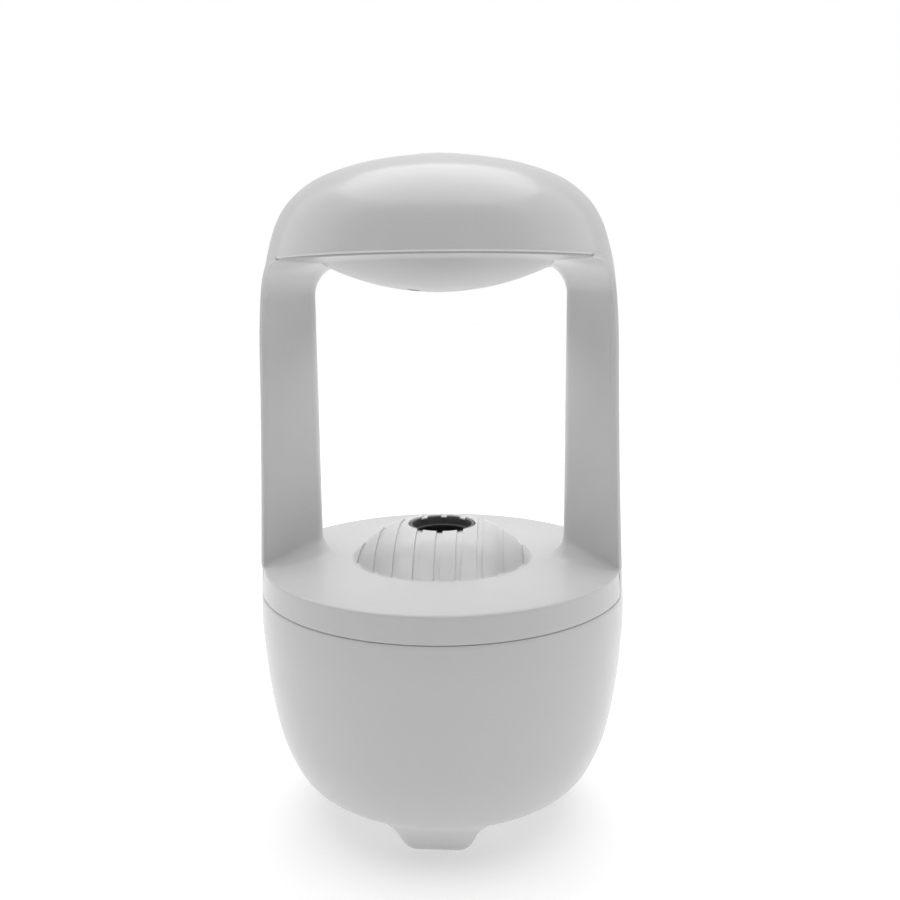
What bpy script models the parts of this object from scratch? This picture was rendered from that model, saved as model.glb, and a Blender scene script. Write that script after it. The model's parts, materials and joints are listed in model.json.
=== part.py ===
"""Cool mist humidifier with a dripping-water window, modelled as the pieces it comes apart into.

Metres, +Z up. The origin is on the floor under the centre of the base, and the front faces -Y.
A clamshell casing (front and rear halves) holds one inner frame, which is the deck with its mound, the
two uprights and the ceiling with its lens-like bulge. The tank, pump and boards are in the bowl, and the
upper reservoir, the atomizer and the mist cap are in the dome.
"""

import math

import bmesh
import bpy
from mathutils import Vector

MM = 0.001

# Clearance between neighbouring pieces, and the distance at which mesh points are merged.
GAP = 0.3 * MM
WELD = 0.001 * MM

# Casing: one outline for bowl, sides and dome, as (radius, height) control points.
CASING_WALL = 1.8 * MM
CAP_HOLE_RADIUS = 13.3 * MM
COVER_HOLE_RADIUS = 23.3 * MM
BOWL_BOTTOM = 12.0 * MM
CASING_OUTLINE = [
    (CAP_HOLE_RADIUS, 233.8 * MM),
    (23.0 * MM, 232.3 * MM),
    (33.5 * MM, 229.7 * MM),
    (43.5 * MM, 225.6 * MM),
    (50.8 * MM, 219.8 * MM),
    (55.4 * MM, 213.0 * MM),
    (58.2 * MM, 205.0 * MM),
    (60.4 * MM, 194.6 * MM),
    (62.0 * MM, 176.8 * MM),
    (62.7 * MM, 152.0 * MM),
    (63.7 * MM, 124.0 * MM),
    (64.8 * MM, 99.0 * MM),
    (65.8 * MM, 78.0 * MM),
    (65.3 * MM, 66.0 * MM),
    (63.8 * MM, 50.3 * MM),
    (60.6 * MM, 33.0 * MM),
    (55.4 * MM, 20.2 * MM),
    (50.4 * MM, 15.6 * MM),
    (43.0 * MM, 12.8 * MM),
    (COVER_HOLE_RADIUS, BOWL_BOTTOM),
]

# Cut-outs of the casing, front and rear, which the inner frame fills.
CUT_DEPTH_Y = 18.0 * MM
CUT_BOTTOM = 84.8 * MM
CUT_TOP = 200.0 * MM
CUT_TOP_CORNER = 13.0 * MM
CUT_BOTTOM_CORNER = 3.0 * MM

# Inner frame.
FRAME_WALL = 2.0 * MM
DECK_TOP = 94.0 * MM
DECK_RADIUS = 64.7 * MM
DECK_EDGE = 0.8 * MM
CEILING = 199.2 * MM
CEILING_RADIUS = 58.8 * MM
BULGE_LOWEST = 189.4 * MM
BULGE_RADIUS = 41.0 * MM
MOUND_RADIUS = 32.7 * MM
MOUND_RISE = 12.7 * MM
MOUND_POWER = 1.85
HOLE_RADIUS = 12.2 * MM
COLLAR_BOTTOM = 86.0 * MM
LEDGE_TOP = 87.8 * MM
GROOVE_PITCH = 7.15 * MM
GROOVE_WIDTH = 2.2 * MM
GROOVE_DEPTH = 1.1 * MM
WINDOW_HALF_WIDTH = 44.4 * MM
NOSE_RADIUS = 5.0 * MM
SEAM_Y = 18.4 * MM
NOSE_FOOT_FILLET = 8.0 * MM
SEAM_FOOT_FILLET = 1.2 * MM
NOSE_TOP_FILLET = 11.0 * MM
UPRIGHT_OFFSET = -1.0

# Feet of the base and their pads.
FEET_ANGLES = {"front": -90.0, "right": 30.0, "left": 150.0}
FEET_CIRCLE = 31.6 * MM
# Rings of a foot: height, nearest and farthest reach from the axis, half width, corner radius.
FOOT_RINGS = [
    (0.5 * MM, 25.6 * MM, 38.0 * MM, 9.4 * MM, 3.2 * MM),
    (0.9 * MM, 24.8 * MM, 39.4 * MM, 10.8 * MM, 4.0 * MM),
    (1.8 * MM, 24.4 * MM, 40.5 * MM, 11.6 * MM, 4.8 * MM),
    (4.0 * MM, 24.3 * MM, 42.2 * MM, 12.7 * MM, 5.8 * MM),
    (7.0 * MM, 24.3 * MM, 44.4 * MM, 13.8 * MM, 6.8 * MM),
    (11.0 * MM, 23.9 * MM, 47.5 * MM, 14.6 * MM, 7.0 * MM),
    (16.0 * MM, 23.9 * MM, 50.4 * MM, 14.6 * MM, 7.0 * MM),
]
PAD_RADIUS = 5.0 * MM
PAD_HEIGHT = 2.2 * MM

# Tank, pump and water path.
TANK_RADIUS = 56.0 * MM
TANK_FLAT_Y = 47.5 * MM
TANK_FLOOR = 26.3 * MM
TANK_RIM = 88.6 * MM
TANK_WALL = 1.6 * MM
PUMP_X = -28.0 * MM
PUMP_NIPPLE_X = -38.5 * MM
HOSE_X = -49.8 * MM
HOSE_RADIUS = 2.8 * MM
HOSE_BORE = 1.6 * MM
NIPPLE_RADIUS = 1.3 * MM
NIPPLE_BORE = 0.8 * MM
INLET_HEIGHT = 210.5 * MM
FLOAT_PLACE = (24.0 * MM, -22.0 * MM)
STRAINER_RADIUS = 11.9 * MM
STRAINER_TOP = 105.9 * MM

# Boards, buttons and socket at the back of the bowl.
BOARD_Y = 49.5 * MM
BOARD_THICKNESS = 1.6 * MM
BUTTON_X = 9.0 * MM
BUTTON_HEIGHT = 66.0 * MM
BUTTON_RADIUS = 3.7 * MM
BUTTON_TRAVEL = 0.8 * MM
SOCKET_HEIGHT = 42.0 * MM
HARNESS_RADIUS = 1.3 * MM
STROBE_PLACE = (-8.5 * MM, -6.0 * MM)

# Screws: the casing's run along Y, and the bottom cover's along Z.
CASING_SCREWS = [
    (-38.0 * MM, 219.0 * MM),
    (38.0 * MM, 219.0 * MM),
    (-41.0 * MM, 19.0 * MM),
    (41.0 * MM, 19.0 * MM),
]
COVER_SCREW_CIRCLE = 18.0 * MM
COVER_SCREW_ANGLES = (90.0, 210.0, 330.0)
SCREW_RADIUS = 1.25 * MM
SCREW_HEAD_RADIUS = 2.6 * MM
CHASSIS_BOTTOM = 24.0 * MM
CHASSIS_TOP = 26.0 * MM

CASING_STEPS = 32
ROUND_STEPS = 24
SMALL_STEPS = 12


# ---------------------------------------------------------------- scene and materials


def clear_scene():
    for obj in list(bpy.data.objects):
        bpy.data.objects.remove(obj, do_unlink=True)


def make_collection(name):
    collection = bpy.data.collections.new(name)
    bpy.context.scene.collection.children.link(collection)
    return collection


clear_scene()
PARTS = make_collection("cool_mist_humidifier")
CUTTERS = make_collection("cutters")
CUTTERS.hide_render = True

FINISHES = {
    "white_gloss": ((0.80, 0.80, 0.80), 0.22, 0.0),
    "white_matte": ((0.72, 0.72, 0.72), 0.55, 0.0),
    "dark_grey": ((0.09, 0.09, 0.09), 0.45, 0.0),
    "grey_rubber": ((0.42, 0.42, 0.42), 0.75, 0.0),
    "silicone": ((0.75, 0.78, 0.80), 0.50, 0.0),
    "board_green": ((0.03, 0.20, 0.08), 0.45, 0.0),
    "steel": ((0.62, 0.62, 0.62), 0.30, 1.0),
    "felt": ((0.85, 0.84, 0.80), 0.95, 0.0),
    "smoked_lens": ((0.02, 0.02, 0.02), 0.10, 0.0),
    "black_plastic": ((0.03, 0.03, 0.03), 0.50, 0.0),
    "float_foam": ((0.85, 0.84, 0.80), 0.80, 0.0),
    "led_clear": ((0.75, 0.78, 0.80), 0.15, 0.0),
}


def finish(name):
    found = bpy.data.materials.get(name)
    if found:
        return found
    colour, roughness, metallic = FINISHES[name]
    made = bpy.data.materials.new(name)
    made.use_nodes = True
    shader = made.node_tree.nodes["Principled BSDF"]
    shader.inputs["Base Color"].default_value = (*colour, 1.0)
    shader.inputs["Roughness"].default_value = roughness
    shader.inputs["Metallic"].default_value = metallic
    return made


# ---------------------------------------------------------------- shapes


def add_object(name, mesh, material=None, location=(0.0, 0.0, 0.0), rotation=(0.0, 0.0, 0.0)):
    """A part when it has a material, and otherwise a hidden cutter."""
    obj = bpy.data.objects.new(name, mesh)
    obj.location = location
    obj.rotation_euler = rotation
    if material:
        PARTS.objects.link(obj)
        mesh.materials.append(finish(material))
    else:
        CUTTERS.objects.link(obj)
        obj.hide_render = True
        obj.display_type = "WIRE"
    return obj


def evaluated_mesh(obj):
    bpy.context.view_layer.update()
    graph = bpy.context.evaluated_depsgraph_get()
    return bpy.data.meshes.new_from_object(obj.evaluated_get(graph))


def bake(obj):
    """Applies the modifiers of a mesh object, and leaves it welded and in triangles."""
    mesh = evaluated_mesh(obj)
    obj.modifiers.clear()
    shape = bmesh.new()
    shape.from_mesh(mesh)
    bmesh.ops.remove_doubles(shape, verts=shape.verts, dist=WELD)
    bmesh.ops.dissolve_degenerate(shape, edges=shape.edges, dist=WELD)
    bmesh.ops.triangulate(shape, faces=shape.faces)
    shape.to_mesh(mesh)
    shape.free()
    obj.data = mesh
    return obj


def turned(name, outline, material=None, steps=ROUND_STEPS, closed=True, **place):
    """Turns an outline of (radius, height) points round Z. It runs down its outer side."""
    mesh = bpy.data.meshes.new(name)
    count = len(outline)
    on_axis = outline[0][0] == 0.0 and outline[-1][0] == 0.0
    edges = [(i, i + 1) for i in range(count - 1)]
    if closed and not on_axis:
        edges.append((count - 1, 0))
    mesh.from_pydata([(r, 0.0, z) for r, z in outline], edges, [])
    obj = add_object(name, mesh, material, **place)
    screw = obj.modifiers.new("turn", "SCREW")
    screw.steps = steps
    screw.render_steps = steps
    screw.use_merge_vertices = True
    screw.merge_threshold = 0.00001
    screw.use_smooth_shade = False
    return bake(obj)


def ring(name, inner, outer, bottom, top, material=None, steps=ROUND_STEPS, **place):
    outline = [(inner, top), (outer, top), (outer, bottom), (inner, bottom)]
    return turned(name, outline, material, steps, **place)


def cylinder(name, radius, bottom, top, material=None, steps=SMALL_STEPS, **place):
    outline = [(0.0, top), (radius, top), (radius, bottom), (0.0, bottom)]
    return turned(name, outline, material, steps, **place)


def rod_y(name, radius, start, end, x, z, material=None, steps=SMALL_STEPS):
    """A cylinder along Y from start to end."""
    return cylinder(
        name, radius, -end, -start, material, steps, location=(x, 0.0, z), rotation=(math.pi / 2, 0.0, 0.0)
    )


def block(name, low, high, material=None):
    mesh = bpy.data.meshes.new(name)
    shape = bmesh.new()
    bmesh.ops.create_cube(shape, size=1.0)
    size = Vector(high) - Vector(low)
    centre = (Vector(high) + Vector(low)) / 2
    bmesh.ops.scale(shape, vec=size, verts=shape.verts)
    bmesh.ops.translate(shape, vec=centre, verts=shape.verts)
    shape.to_mesh(mesh)
    shape.free()
    return add_object(name, mesh, material)


def curve_object(name, kind="3D"):
    curve = bpy.data.curves.new(name, "CURVE")
    curve.dimensions = kind
    obj = bpy.data.objects.new(name, curve)
    bpy.context.scene.collection.objects.link(obj)
    return obj, curve


def add_spline(curve, points, cyclic=False):
    spline = curve.splines.new("POLY")
    spline.points.add(len(points) - 1)
    for target, point in zip(spline.points, points):
        target.co = (*point, 1.0)
    spline.use_cyclic_u = cyclic


def mesh_from_curve(obj, material=None):
    """Turns a curve object into a welded mesh object of the same name and place."""
    mesh = evaluated_mesh(obj)
    shape = bmesh.new()
    shape.from_mesh(mesh)
    bmesh.ops.remove_doubles(shape, verts=shape.verts, dist=WELD)
    bmesh.ops.recalc_face_normals(shape, faces=shape.faces)
    shape.to_mesh(mesh)
    shape.free()
    name, matrix = obj.name, obj.matrix_world.copy()
    bpy.data.objects.remove(obj, do_unlink=True)
    made = add_object(name, mesh, material)
    made.matrix_world = matrix
    return made


def tube(name, points, radius, material=None, sides=2):
    obj, curve = curve_object(name)
    curve.bevel_depth = radius
    curve.bevel_resolution = sides
    curve.use_fill_caps = True
    add_spline(curve, points)
    return mesh_from_curve(obj, material)


def side_prism(name, outline, half_length):
    """Extrudes an outline of (y, z) points along X, to both sides of the middle plane."""
    obj, curve = curve_object(name, "2D")
    curve.fill_mode = "BOTH"
    curve.extrude = half_length
    add_spline(curve, [(y, z, 0.0) for y, z in outline], cyclic=True)
    obj.rotation_euler = (math.pi / 2, 0.0, math.pi / 2)
    bpy.context.view_layer.update()
    return mesh_from_curve(obj)


def boolean(obj, other, operation="DIFFERENCE"):
    modifier = obj.modifiers.new(operation.lower(), "BOOLEAN")
    modifier.operation = operation
    modifier.object = other
    return bake(obj)


def cut(obj, *others):
    for other in others:
        boolean(obj, other, "DIFFERENCE")
    return obj


def join(obj, *others):
    for other in others:
        boolean(obj, other, "UNION")
    return obj


def keep(obj, other):
    return boolean(obj, other, "INTERSECT")


def smooth_path(route, spacing):
    """Points about a spacing apart on the Catmull-Rom curve through a route."""
    points = [Vector(p) for p in route]
    ends = [2 * points[0] - points[1], *points, 2 * points[-1] - points[-2]]
    path = []
    for a, b, c, d in zip(ends, ends[1:], ends[2:], ends[3:]):
        steps = max(1, round((c - b).length / spacing))
        for i in range(steps):
            t = i / steps
            curve = (2 * a - 5 * b + 4 * c - d) * t**2 + (3 * b - a - 3 * c + d) * t**3
            path.append(0.5 * (2 * b + (c - a) * t + curve))
    path.append(points[-1])
    return path


def arc(centre, radius, start, end, steps):
    """Points of an arc, with its angles in degrees."""
    angles = [math.radians(start + (end - start) * i / steps) for i in range(steps + 1)]
    return [(centre[0] + radius * math.cos(a), centre[1] + radius * math.sin(a)) for a in angles]


def on_circle(radius, degrees):
    angle = math.radians(degrees)
    return radius * math.cos(angle), radius * math.sin(angle)


def casing_radius(height):
    """The casing's outer radius at a height, read from its outline."""
    for (r_top, z_top), (r_low, z_low) in zip(CASING_OUTLINE, CASING_OUTLINE[1:]):
        if z_low <= height <= z_top:
            return r_low + (r_top - r_low) * (height - z_low) / (z_top - z_low)
    return CASING_OUTLINE[0][0]


def mound_height(radius):
    if radius >= MOUND_RADIUS:
        return 0.0
    return MOUND_RISE * math.cos(math.pi / 2 * (radius / MOUND_RADIUS) ** MOUND_POWER)


def bulge_sphere_radius():
    drop = CEILING - BULGE_LOWEST
    return (BULGE_RADIUS**2 + drop**2) / (2 * drop)


# ---------------------------------------------------------------- casing


def casing_cut_outline(inset=0.0):
    """The side view of the front cut-out, round at its two inner corners."""
    far = 90.0 * MM
    inner = -CUT_DEPTH_Y - inset
    top, bottom = CUT_TOP - inset, CUT_BOTTOM + inset
    high = arc((inner - CUT_TOP_CORNER, top - CUT_TOP_CORNER), CUT_TOP_CORNER, 90.0, 0.0, 6)
    low = arc((inner - CUT_BOTTOM_CORNER, bottom + CUT_BOTTOM_CORNER), CUT_BOTTOM_CORNER, 0.0, -90.0, 3)
    return [(-far, top), *high, *low, (-far, bottom)]


def cut_out_prisms(name, inset=0.0):
    outline = casing_cut_outline(inset)
    front = side_prism(f"{name}_front", outline, 90 * MM)
    return front, side_prism(f"{name}_rear", [(-y, z) for y, z in outline], 90 * MM)


def foot_lobe(side):
    """A foot that leans outwards into the bowl, built from rounded rings."""
    shape = bmesh.new()
    turn = math.radians(FEET_ANGLES[side])
    rings = []
    for height, near, far, half, corner in FOOT_RINGS:
        flat = []
        for number, (reach, side_way) in enumerate(((far, 1), (near, 1), (near, -1), (far, -1))):
            inward = -corner if reach == far else corner
            centre = (reach + inward, side_way * (half - corner))
            flat += arc(centre, corner, 90.0 * number, 90.0 * number + 90.0, 4)
        ring = []
        for out, across in flat:
            x = out * math.cos(turn) - across * math.sin(turn)
            y = out * math.sin(turn) + across * math.cos(turn)
            ring.append(shape.verts.new((x, y, height)))
        rings.append(ring)
    for low, high in zip(rings, rings[1:]):
        for i in range(len(low)):
            k = (i + 1) % len(low)
            shape.faces.new((low[i], low[k], high[k], high[i]))
    shape.faces.new(rings[0][::-1])
    shape.faces.new(rings[-1])
    mesh = bpy.data.meshes.new(f"foot_lobe_{side}")
    shape.to_mesh(mesh)
    shape.free()
    return bake(add_object(f"foot_lobe_{side}", mesh))


def pad_recess(side):
    x, y = on_circle(FEET_CIRCLE, FEET_ANGLES[side])
    top = PAD_HEIGHT + GAP
    return cylinder(f"pad_recess_{side}", PAD_RADIUS + GAP, -1 * MM, top, location=(x, y, 0.0))


def make_casing():
    shell = turned("casing_shell", CASING_OUTLINE, steps=CASING_STEPS, closed=False)
    solid = shell.modifiers.new("wall", "SOLIDIFY")
    solid.thickness = CASING_WALL
    solid.offset = -1.0
    bake(shell)
    cut(shell, *cut_out_prisms("cut_out"))

    # The bosses end inside the wall, halfway through it.
    depth = CASING_WALL / 2
    wall_middle = [(r - depth, z) for r, z in CASING_OUTLINE]
    body = turned(
        "casing_body",
        [(0.0, wall_middle[0][1]), *wall_middle, (0.0, wall_middle[-1][1])],
        steps=CASING_STEPS,
    )
    far = 90 * MM
    halves = {
        "front_casing": (-far, -GAP / 2, ["front"], -1),
        "rear_casing": (GAP / 2, far, ["left", "right"], 1),
    }
    made = {}
    for name, (near_y, far_y, feet, sign) in halves.items():
        half = block(f"{name}_half", (-far, near_y, -far), (far, far_y, 3 * far))
        casing = add_object(name, shell.data.copy(), "white_gloss")
        for side in feet:
            join(casing, foot_lobe(side))
        for number, (x, z) in enumerate(CASING_SCREWS, 1):
            radius = 4.4 * MM if sign > 0 else 3.4 * MM
            ends = sorted((sign * GAP, sign * far))
            boss = rod_y(f"{name}_boss_{number}", radius, *ends, x, z)
            join(casing, keep(boss, body))
        keep(casing, half)
        for side in feet:
            cut(casing, pad_recess(side))
        made[name] = casing
    return made["front_casing"], made["rear_casing"]


def cut_screw_holes(front, rear):
    """The rear half takes the screws' heads in deep counterbores, and the front half their threads."""
    head_seat = 9.0 * MM
    for number, (x, z) in enumerate(CASING_SCREWS, 1):
        cut(front, rod_y(f"thread_hole_{number}", SCREW_RADIUS + GAP, -16 * MM, 5 * MM, x, z))
        cut(rear, rod_y(f"shank_hole_{number}", SCREW_RADIUS + GAP, -5 * MM, 12 * MM, x, z))
        cut(rear, rod_y(f"head_bore_{number}", SCREW_HEAD_RADIUS + GAP, head_seat, 80 * MM, x, z))


def cut_rear_openings(rear):
    for side, x in (("left", -BUTTON_X), ("right", BUTTON_X)):
        place = (56 * MM, 80 * MM, x, BUTTON_HEIGHT)
        cut(rear, rod_y(f"button_hole_{side}", BUTTON_RADIUS + GAP, *place, steps=24))
    half_x, half_z = 4.9 * MM, 2.05 * MM
    low = (-half_x, 55 * MM, SOCKET_HEIGHT - half_z)
    cut(rear, block("socket_hole", low, (half_x, 80 * MM, SOCKET_HEIGHT + half_z)))


def make_casing_screws():
    for number, (x, z) in enumerate(CASING_SCREWS, 1):
        outline = [
            (0.0, 15 * MM),
            (SCREW_RADIUS, 15 * MM),
            (SCREW_RADIUS, -9.3 * MM),
            (SCREW_HEAD_RADIUS, -9.3 * MM),
            (SCREW_HEAD_RADIUS * 0.8, -11.0 * MM),
            (0.0, -11.2 * MM),
        ]
        turned(
            f"casing_screw_{number}",
            outline,
            "steel",
            steps=8,
            location=(x, 0.0, z),
            rotation=(math.pi / 2, 0.0, 0.0),
        )


# ---------------------------------------------------------------- inner frame


def deck_solid():
    """The deck with its mound, rim and collar, as one turned outline."""
    inner = HOLE_RADIUS
    mound = [inner + (MOUND_RADIUS - inner) * i / 4 for i in range(5)]
    rim_bottom = CUT_BOTTOM + GAP
    top = [(r, DECK_TOP + mound_height(r)) for r in mound]
    rim = [
        (DECK_RADIUS - DECK_EDGE, DECK_TOP),
        (DECK_RADIUS, DECK_TOP - DECK_EDGE),
        (casing_radius(rim_bottom) - 0.1 * MM, rim_bottom),
        (casing_radius(rim_bottom) - FRAME_WALL, rim_bottom),
        (DECK_RADIUS - FRAME_WALL, DECK_TOP - FRAME_WALL),
    ]
    under = [(r, DECK_TOP + mound_height(r) - FRAME_WALL) for r in reversed(mound[1:])]
    collar = [
        (inner + FRAME_WALL, DECK_TOP + mound_height(inner) - 2 * FRAME_WALL),
        (inner + FRAME_WALL, COLLAR_BOTTOM),
        (inner - 1.7 * MM, COLLAR_BOTTOM),
        (inner - 1.7 * MM, LEDGE_TOP),
        (inner, LEDGE_TOP),
    ]
    return turned("deck", top + rim + under + collar, "white_gloss", steps=CASING_STEPS)


def ceiling_solid():
    """The ceiling plate with its bulge and the upstand that fits inside the dome."""
    sphere = bulge_sphere_radius()
    radii = [BULGE_RADIUS * i / 4 for i in range(5)]
    bulge = [(r, BULGE_LOWEST + sphere - math.sqrt(sphere**2 - r**2)) for r in radii]
    upstand = 56.0 * MM
    outline = [
        *((r, z + FRAME_WALL) for r, z in bulge),
        (upstand - 1.6 * MM, CEILING + FRAME_WALL),
        (upstand - 1.6 * MM, CEILING + 5 * MM),
        (upstand, CEILING + 5 * MM),
        (upstand, CEILING + 0.5 * MM),
        (CEILING_RADIUS, CEILING + 0.5 * MM),
        (CEILING_RADIUS - 0.3 * MM, CEILING),
        *reversed(bulge),
    ]
    return turned("ceiling", outline, steps=CASING_STEPS)


def seam_point(height, y):
    """Where the frame meets the inside of the casing, at a height and a distance from the middle."""
    radius = casing_radius(height) - CASING_WALL - GAP
    return Vector((math.sqrt(radius**2 - y**2), y))


def upright_columns():
    """The upright's plan from nose to front seam, as (place on the nose, normal, share of the face)."""
    centre = Vector((WINDOW_HALF_WIDTH + NOSE_RADIUS, 0.0))
    to_seam = seam_point((DECK_TOP + CEILING) / 2, -SEAM_Y) - centre
    turn = math.atan2(to_seam.y, to_seam.x) - math.acos(NOSE_RADIUS / to_seam.length)
    columns = []
    for i in range(4):
        angle = -math.pi + (turn + math.pi) * i / 3
        normal = Vector((math.cos(angle), math.sin(angle)))
        columns.append((centre + NOSE_RADIUS * normal, normal, 0.0))
    start, normal, _ = columns[-1]
    columns += [(start, normal, 0.5), (start, normal, 1.0)]
    return columns


def upright_rows(start, normal, share):
    """One column's points from deck to ceiling. Its upper end follows the round corner of the cut-out."""
    sink = 0.4 * MM
    bottom, top = DECK_TOP - sink, CEILING + sink
    foot = NOSE_FOOT_FILLET + (SEAM_FOOT_FILLET - NOSE_FOOT_FILLET) * share
    corner = NOSE_TOP_FILLET + (CUT_TOP_CORNER - NOSE_TOP_FILLET) * share
    rows = []

    def add(height, foot_reach, lean):
        seam = seam_point(height, -SEAM_Y - CUT_TOP_CORNER * lean)
        inner = start + normal * (foot_reach + NOSE_TOP_FILLET * lean)
        place = inner + (seam - inner) * share + normal * foot_reach * share
        rows.append(Vector((place.x, place.y, height)))

    for i in range(4):
        angle = math.pi / 2 * i / 3
        add(bottom + foot * (1 - math.cos(angle)), foot * (1 - math.sin(angle)), 0.0)
    low, high = bottom + foot, top - corner
    for i in range(1, 4):
        add(low + (high - low) * i / 4, 0.0, 0.0)
    for i in range(5):
        angle = math.pi / 2 * i / 4
        add(high + corner * math.sin(angle), 0.0, 1 - math.cos(angle))
    return rows


def upright_wall(side):
    """A hollow upright's visible skin, filleted into deck and ceiling, thickened outwards."""
    half = [upright_rows(*column) for column in upright_columns()]
    back = [[Vector((p.x, -p.y, p.z)) for p in rows] for rows in reversed(half[1:])]
    shape = bmesh.new()
    columns = [[shape.verts.new((side * p.x, p.y, p.z)) for p in rows] for rows in back + half]
    for first, second in zip(columns, columns[1:]):
        for a, b, c, d in zip(first, second, second[1:], first[1:]):
            shape.faces.new((a, b, c, d) if side > 0 else (d, c, b, a))
    mesh = bpy.data.meshes.new("upright")
    shape.to_mesh(mesh)
    shape.free()
    obj = add_object("upright_right" if side > 0 else "upright_left", mesh)
    solid = obj.modifiers.new("wall", "SOLIDIFY")
    solid.thickness = FRAME_WALL
    solid.offset = UPRIGHT_OFFSET
    return bake(obj)


def casing_clearance():
    """The room that the casing's side strips, with their round corners, take from the inner frame."""
    heights = [76.0, 99.0, 152.0, 190.0, 204.0]
    inner = [(casing_radius(z * MM) - CASING_WALL - GAP, z * MM) for z in heights]
    far = 80 * MM
    outline = [(far, inner[-1][1]), (far, inner[0][1]), *inner]
    cutter = turned("strip_room", outline, steps=CASING_STEPS)
    return cut(cutter, *cut_out_prisms("strip_edge", GAP))


def groove_cutters():
    """Grooves that run from front to back across the edge of the drain hole."""
    floor = DECK_TOP + mound_height(HOLE_RADIUS) - GROOVE_DEPTH
    half_x, half_y = GROOVE_WIDTH / 2, 15.0 * MM
    cutters = []
    for number, x in enumerate((-GROOVE_PITCH, 0.0, GROOVE_PITCH), 1):
        low, high = (x - half_x, -half_y, floor), (x + half_x, half_y, floor + 5 * MM)
        cutters.append(block(f"edge_groove_{number}", low, high))
    return cutters


def make_inner_frame(grooves):
    frame = deck_solid()
    frame.name = "inner_frame"
    join(frame, upright_wall(1), upright_wall(-1), ceiling_solid())
    cut(frame, casing_clearance())
    cut(frame, *grooves)
    frame_holes = {
        "hose_hole_low": (HOSE_X, 0.0, 3.2, 84.0, 97.0),
        "hose_hole_high": (HOSE_X, 0.0, 3.2, 197.0, 204.0),
        "wire_hole_low": (58.8 * MM, 1.0 * MM, 3.0, 84.0, 97.0),
        "wire_hole_high": (52.0 * MM, 0.0, 2.4, 197.0, 204.0),
        "nozzle_hole": (0.0, 0.0, 2.4, 185.0, 195.0),
        "strobe_hole": (*STROBE_PLACE, 2.15, 185.0, 196.0),
    }
    for name, (x, y, radius, bottom, top) in frame_holes.items():
        cut(frame, cylinder(name, radius * MM, bottom * MM, top * MM, location=(x, y, 0.0)))
    return frame


# ---------------------------------------------------------------- bowl


def make_foot_pads():
    for side, angle in FEET_ANGLES.items():
        x, y = on_circle(FEET_CIRCLE, angle)
        edge = 0.4 * MM
        outline = [
            (0.0, PAD_HEIGHT),
            (PAD_RADIUS, PAD_HEIGHT),
            (PAD_RADIUS, edge),
            (PAD_RADIUS - edge, 0.0),
            (0.0, 0.0),
        ]
        turned(f"foot_pad_{side}", outline, "grey_rubber", steps=24, location=(x, y, 0.0))


def make_bottom_cover():
    cover = cylinder(
        "bottom_cover",
        COVER_HOLE_RADIUS - GAP,
        BOWL_BOTTOM,
        BOWL_BOTTOM + 2 * MM,
        "white_matte",
        steps=40,
    )
    for number, angle in enumerate(COVER_SCREW_ANGLES, 1):
        x, y = on_circle(COVER_SCREW_CIRCLE, angle)
        hole = cylinder(f"cover_hole_{number}", SCREW_RADIUS + GAP, 0.0, 20 * MM, location=(x, y, 0.0))
        cut(cover, hole)
        head = BOWL_BOTTOM - GAP
        outline = [
            (0.0, 21.5 * MM),
            (SCREW_RADIUS, 21.5 * MM),
            (SCREW_RADIUS, head),
            (SCREW_HEAD_RADIUS, head),
            (SCREW_HEAD_RADIUS * 0.8, head - 1.3 * MM),
            (0.0, head - 1.5 * MM),
        ]
        turned(f"bottom_screw_{number}", outline, "steel", steps=8, location=(x, y, 0.0))


def make_chassis():
    """The plate that the tank stands on, with the bosses of the bottom cover's screws."""
    chassis = cylinder("base_chassis", 52.5 * MM, CHASSIS_BOTTOM, CHASSIS_TOP, "white_matte", steps=40)
    for number, angle in enumerate(COVER_SCREW_ANGLES, 1):
        x, y = on_circle(COVER_SCREW_CIRCLE, angle)
        boss_bottom = BOWL_BOTTOM + 2 * MM + GAP
        join(chassis, cylinder(f"boss_{number}", 3.2 * MM, boss_bottom, 25 * MM, location=(x, y, 0.0)))
    for number, angle in enumerate(COVER_SCREW_ANGLES, 1):
        x, y = on_circle(COVER_SCREW_CIRCLE, angle)
        radius = SCREW_RADIUS + GAP
        cut(chassis, cylinder(f"boss_hole_{number}", radius, 5 * MM, 22 * MM, location=(x, y, 0.0)))


def flat_backed(name, outline, flat_y, material=None):
    """A turned solid whose back is cut off flat, to leave room for the boards."""
    solid = turned(name, outline, material, steps=40)
    band = block(f"{name}_front_side", (-90 * MM, -90 * MM, 0.0), (90 * MM, flat_y, 120 * MM))
    return keep(solid, band)


def make_tank():
    wall = TANK_WALL
    outer = [
        (0.0, TANK_RIM),
        (TANK_RADIUS, TANK_RIM),
        (TANK_RADIUS, 50 * MM),
        (53 * MM, 38 * MM),
        (43 * MM, TANK_FLOOR),
        (0.0, TANK_FLOOR),
    ]
    inner = [
        (0.0, TANK_RIM + 5 * MM),
        (TANK_RADIUS - wall, TANK_RIM + 5 * MM),
        (TANK_RADIUS - wall, 50.3 * MM),
        (51.6 * MM, 39.0 * MM),
        (42.4 * MM, TANK_FLOOR + wall),
        (0.0, TANK_FLOOR + wall),
    ]
    tank = flat_backed("water_tank", outer, TANK_FLAT_Y, "white_matte")
    cut(tank, flat_backed("tank_room", inner, TANK_FLAT_Y - wall))

    bottom, top = TANK_RIM + GAP, DECK_TOP - FRAME_WALL - GAP
    radius, hole_radius, far = TANK_RADIUS - 0.4 * MM, 53.3 * MM, 2 * MM
    outer = [(0.0, top), (radius, top), (radius, bottom), (0.0, bottom)]
    inner = [(0.0, top + far), (hole_radius, top + far), (hole_radius, bottom - far), (0.0, bottom - far)]
    gasket = flat_backed("tank_gasket", outer, TANK_FLAT_Y - 0.4 * MM, "silicone")
    cut(gasket, flat_backed("gasket_room", inner, TANK_FLAT_Y - 2.6 * MM))


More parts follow.
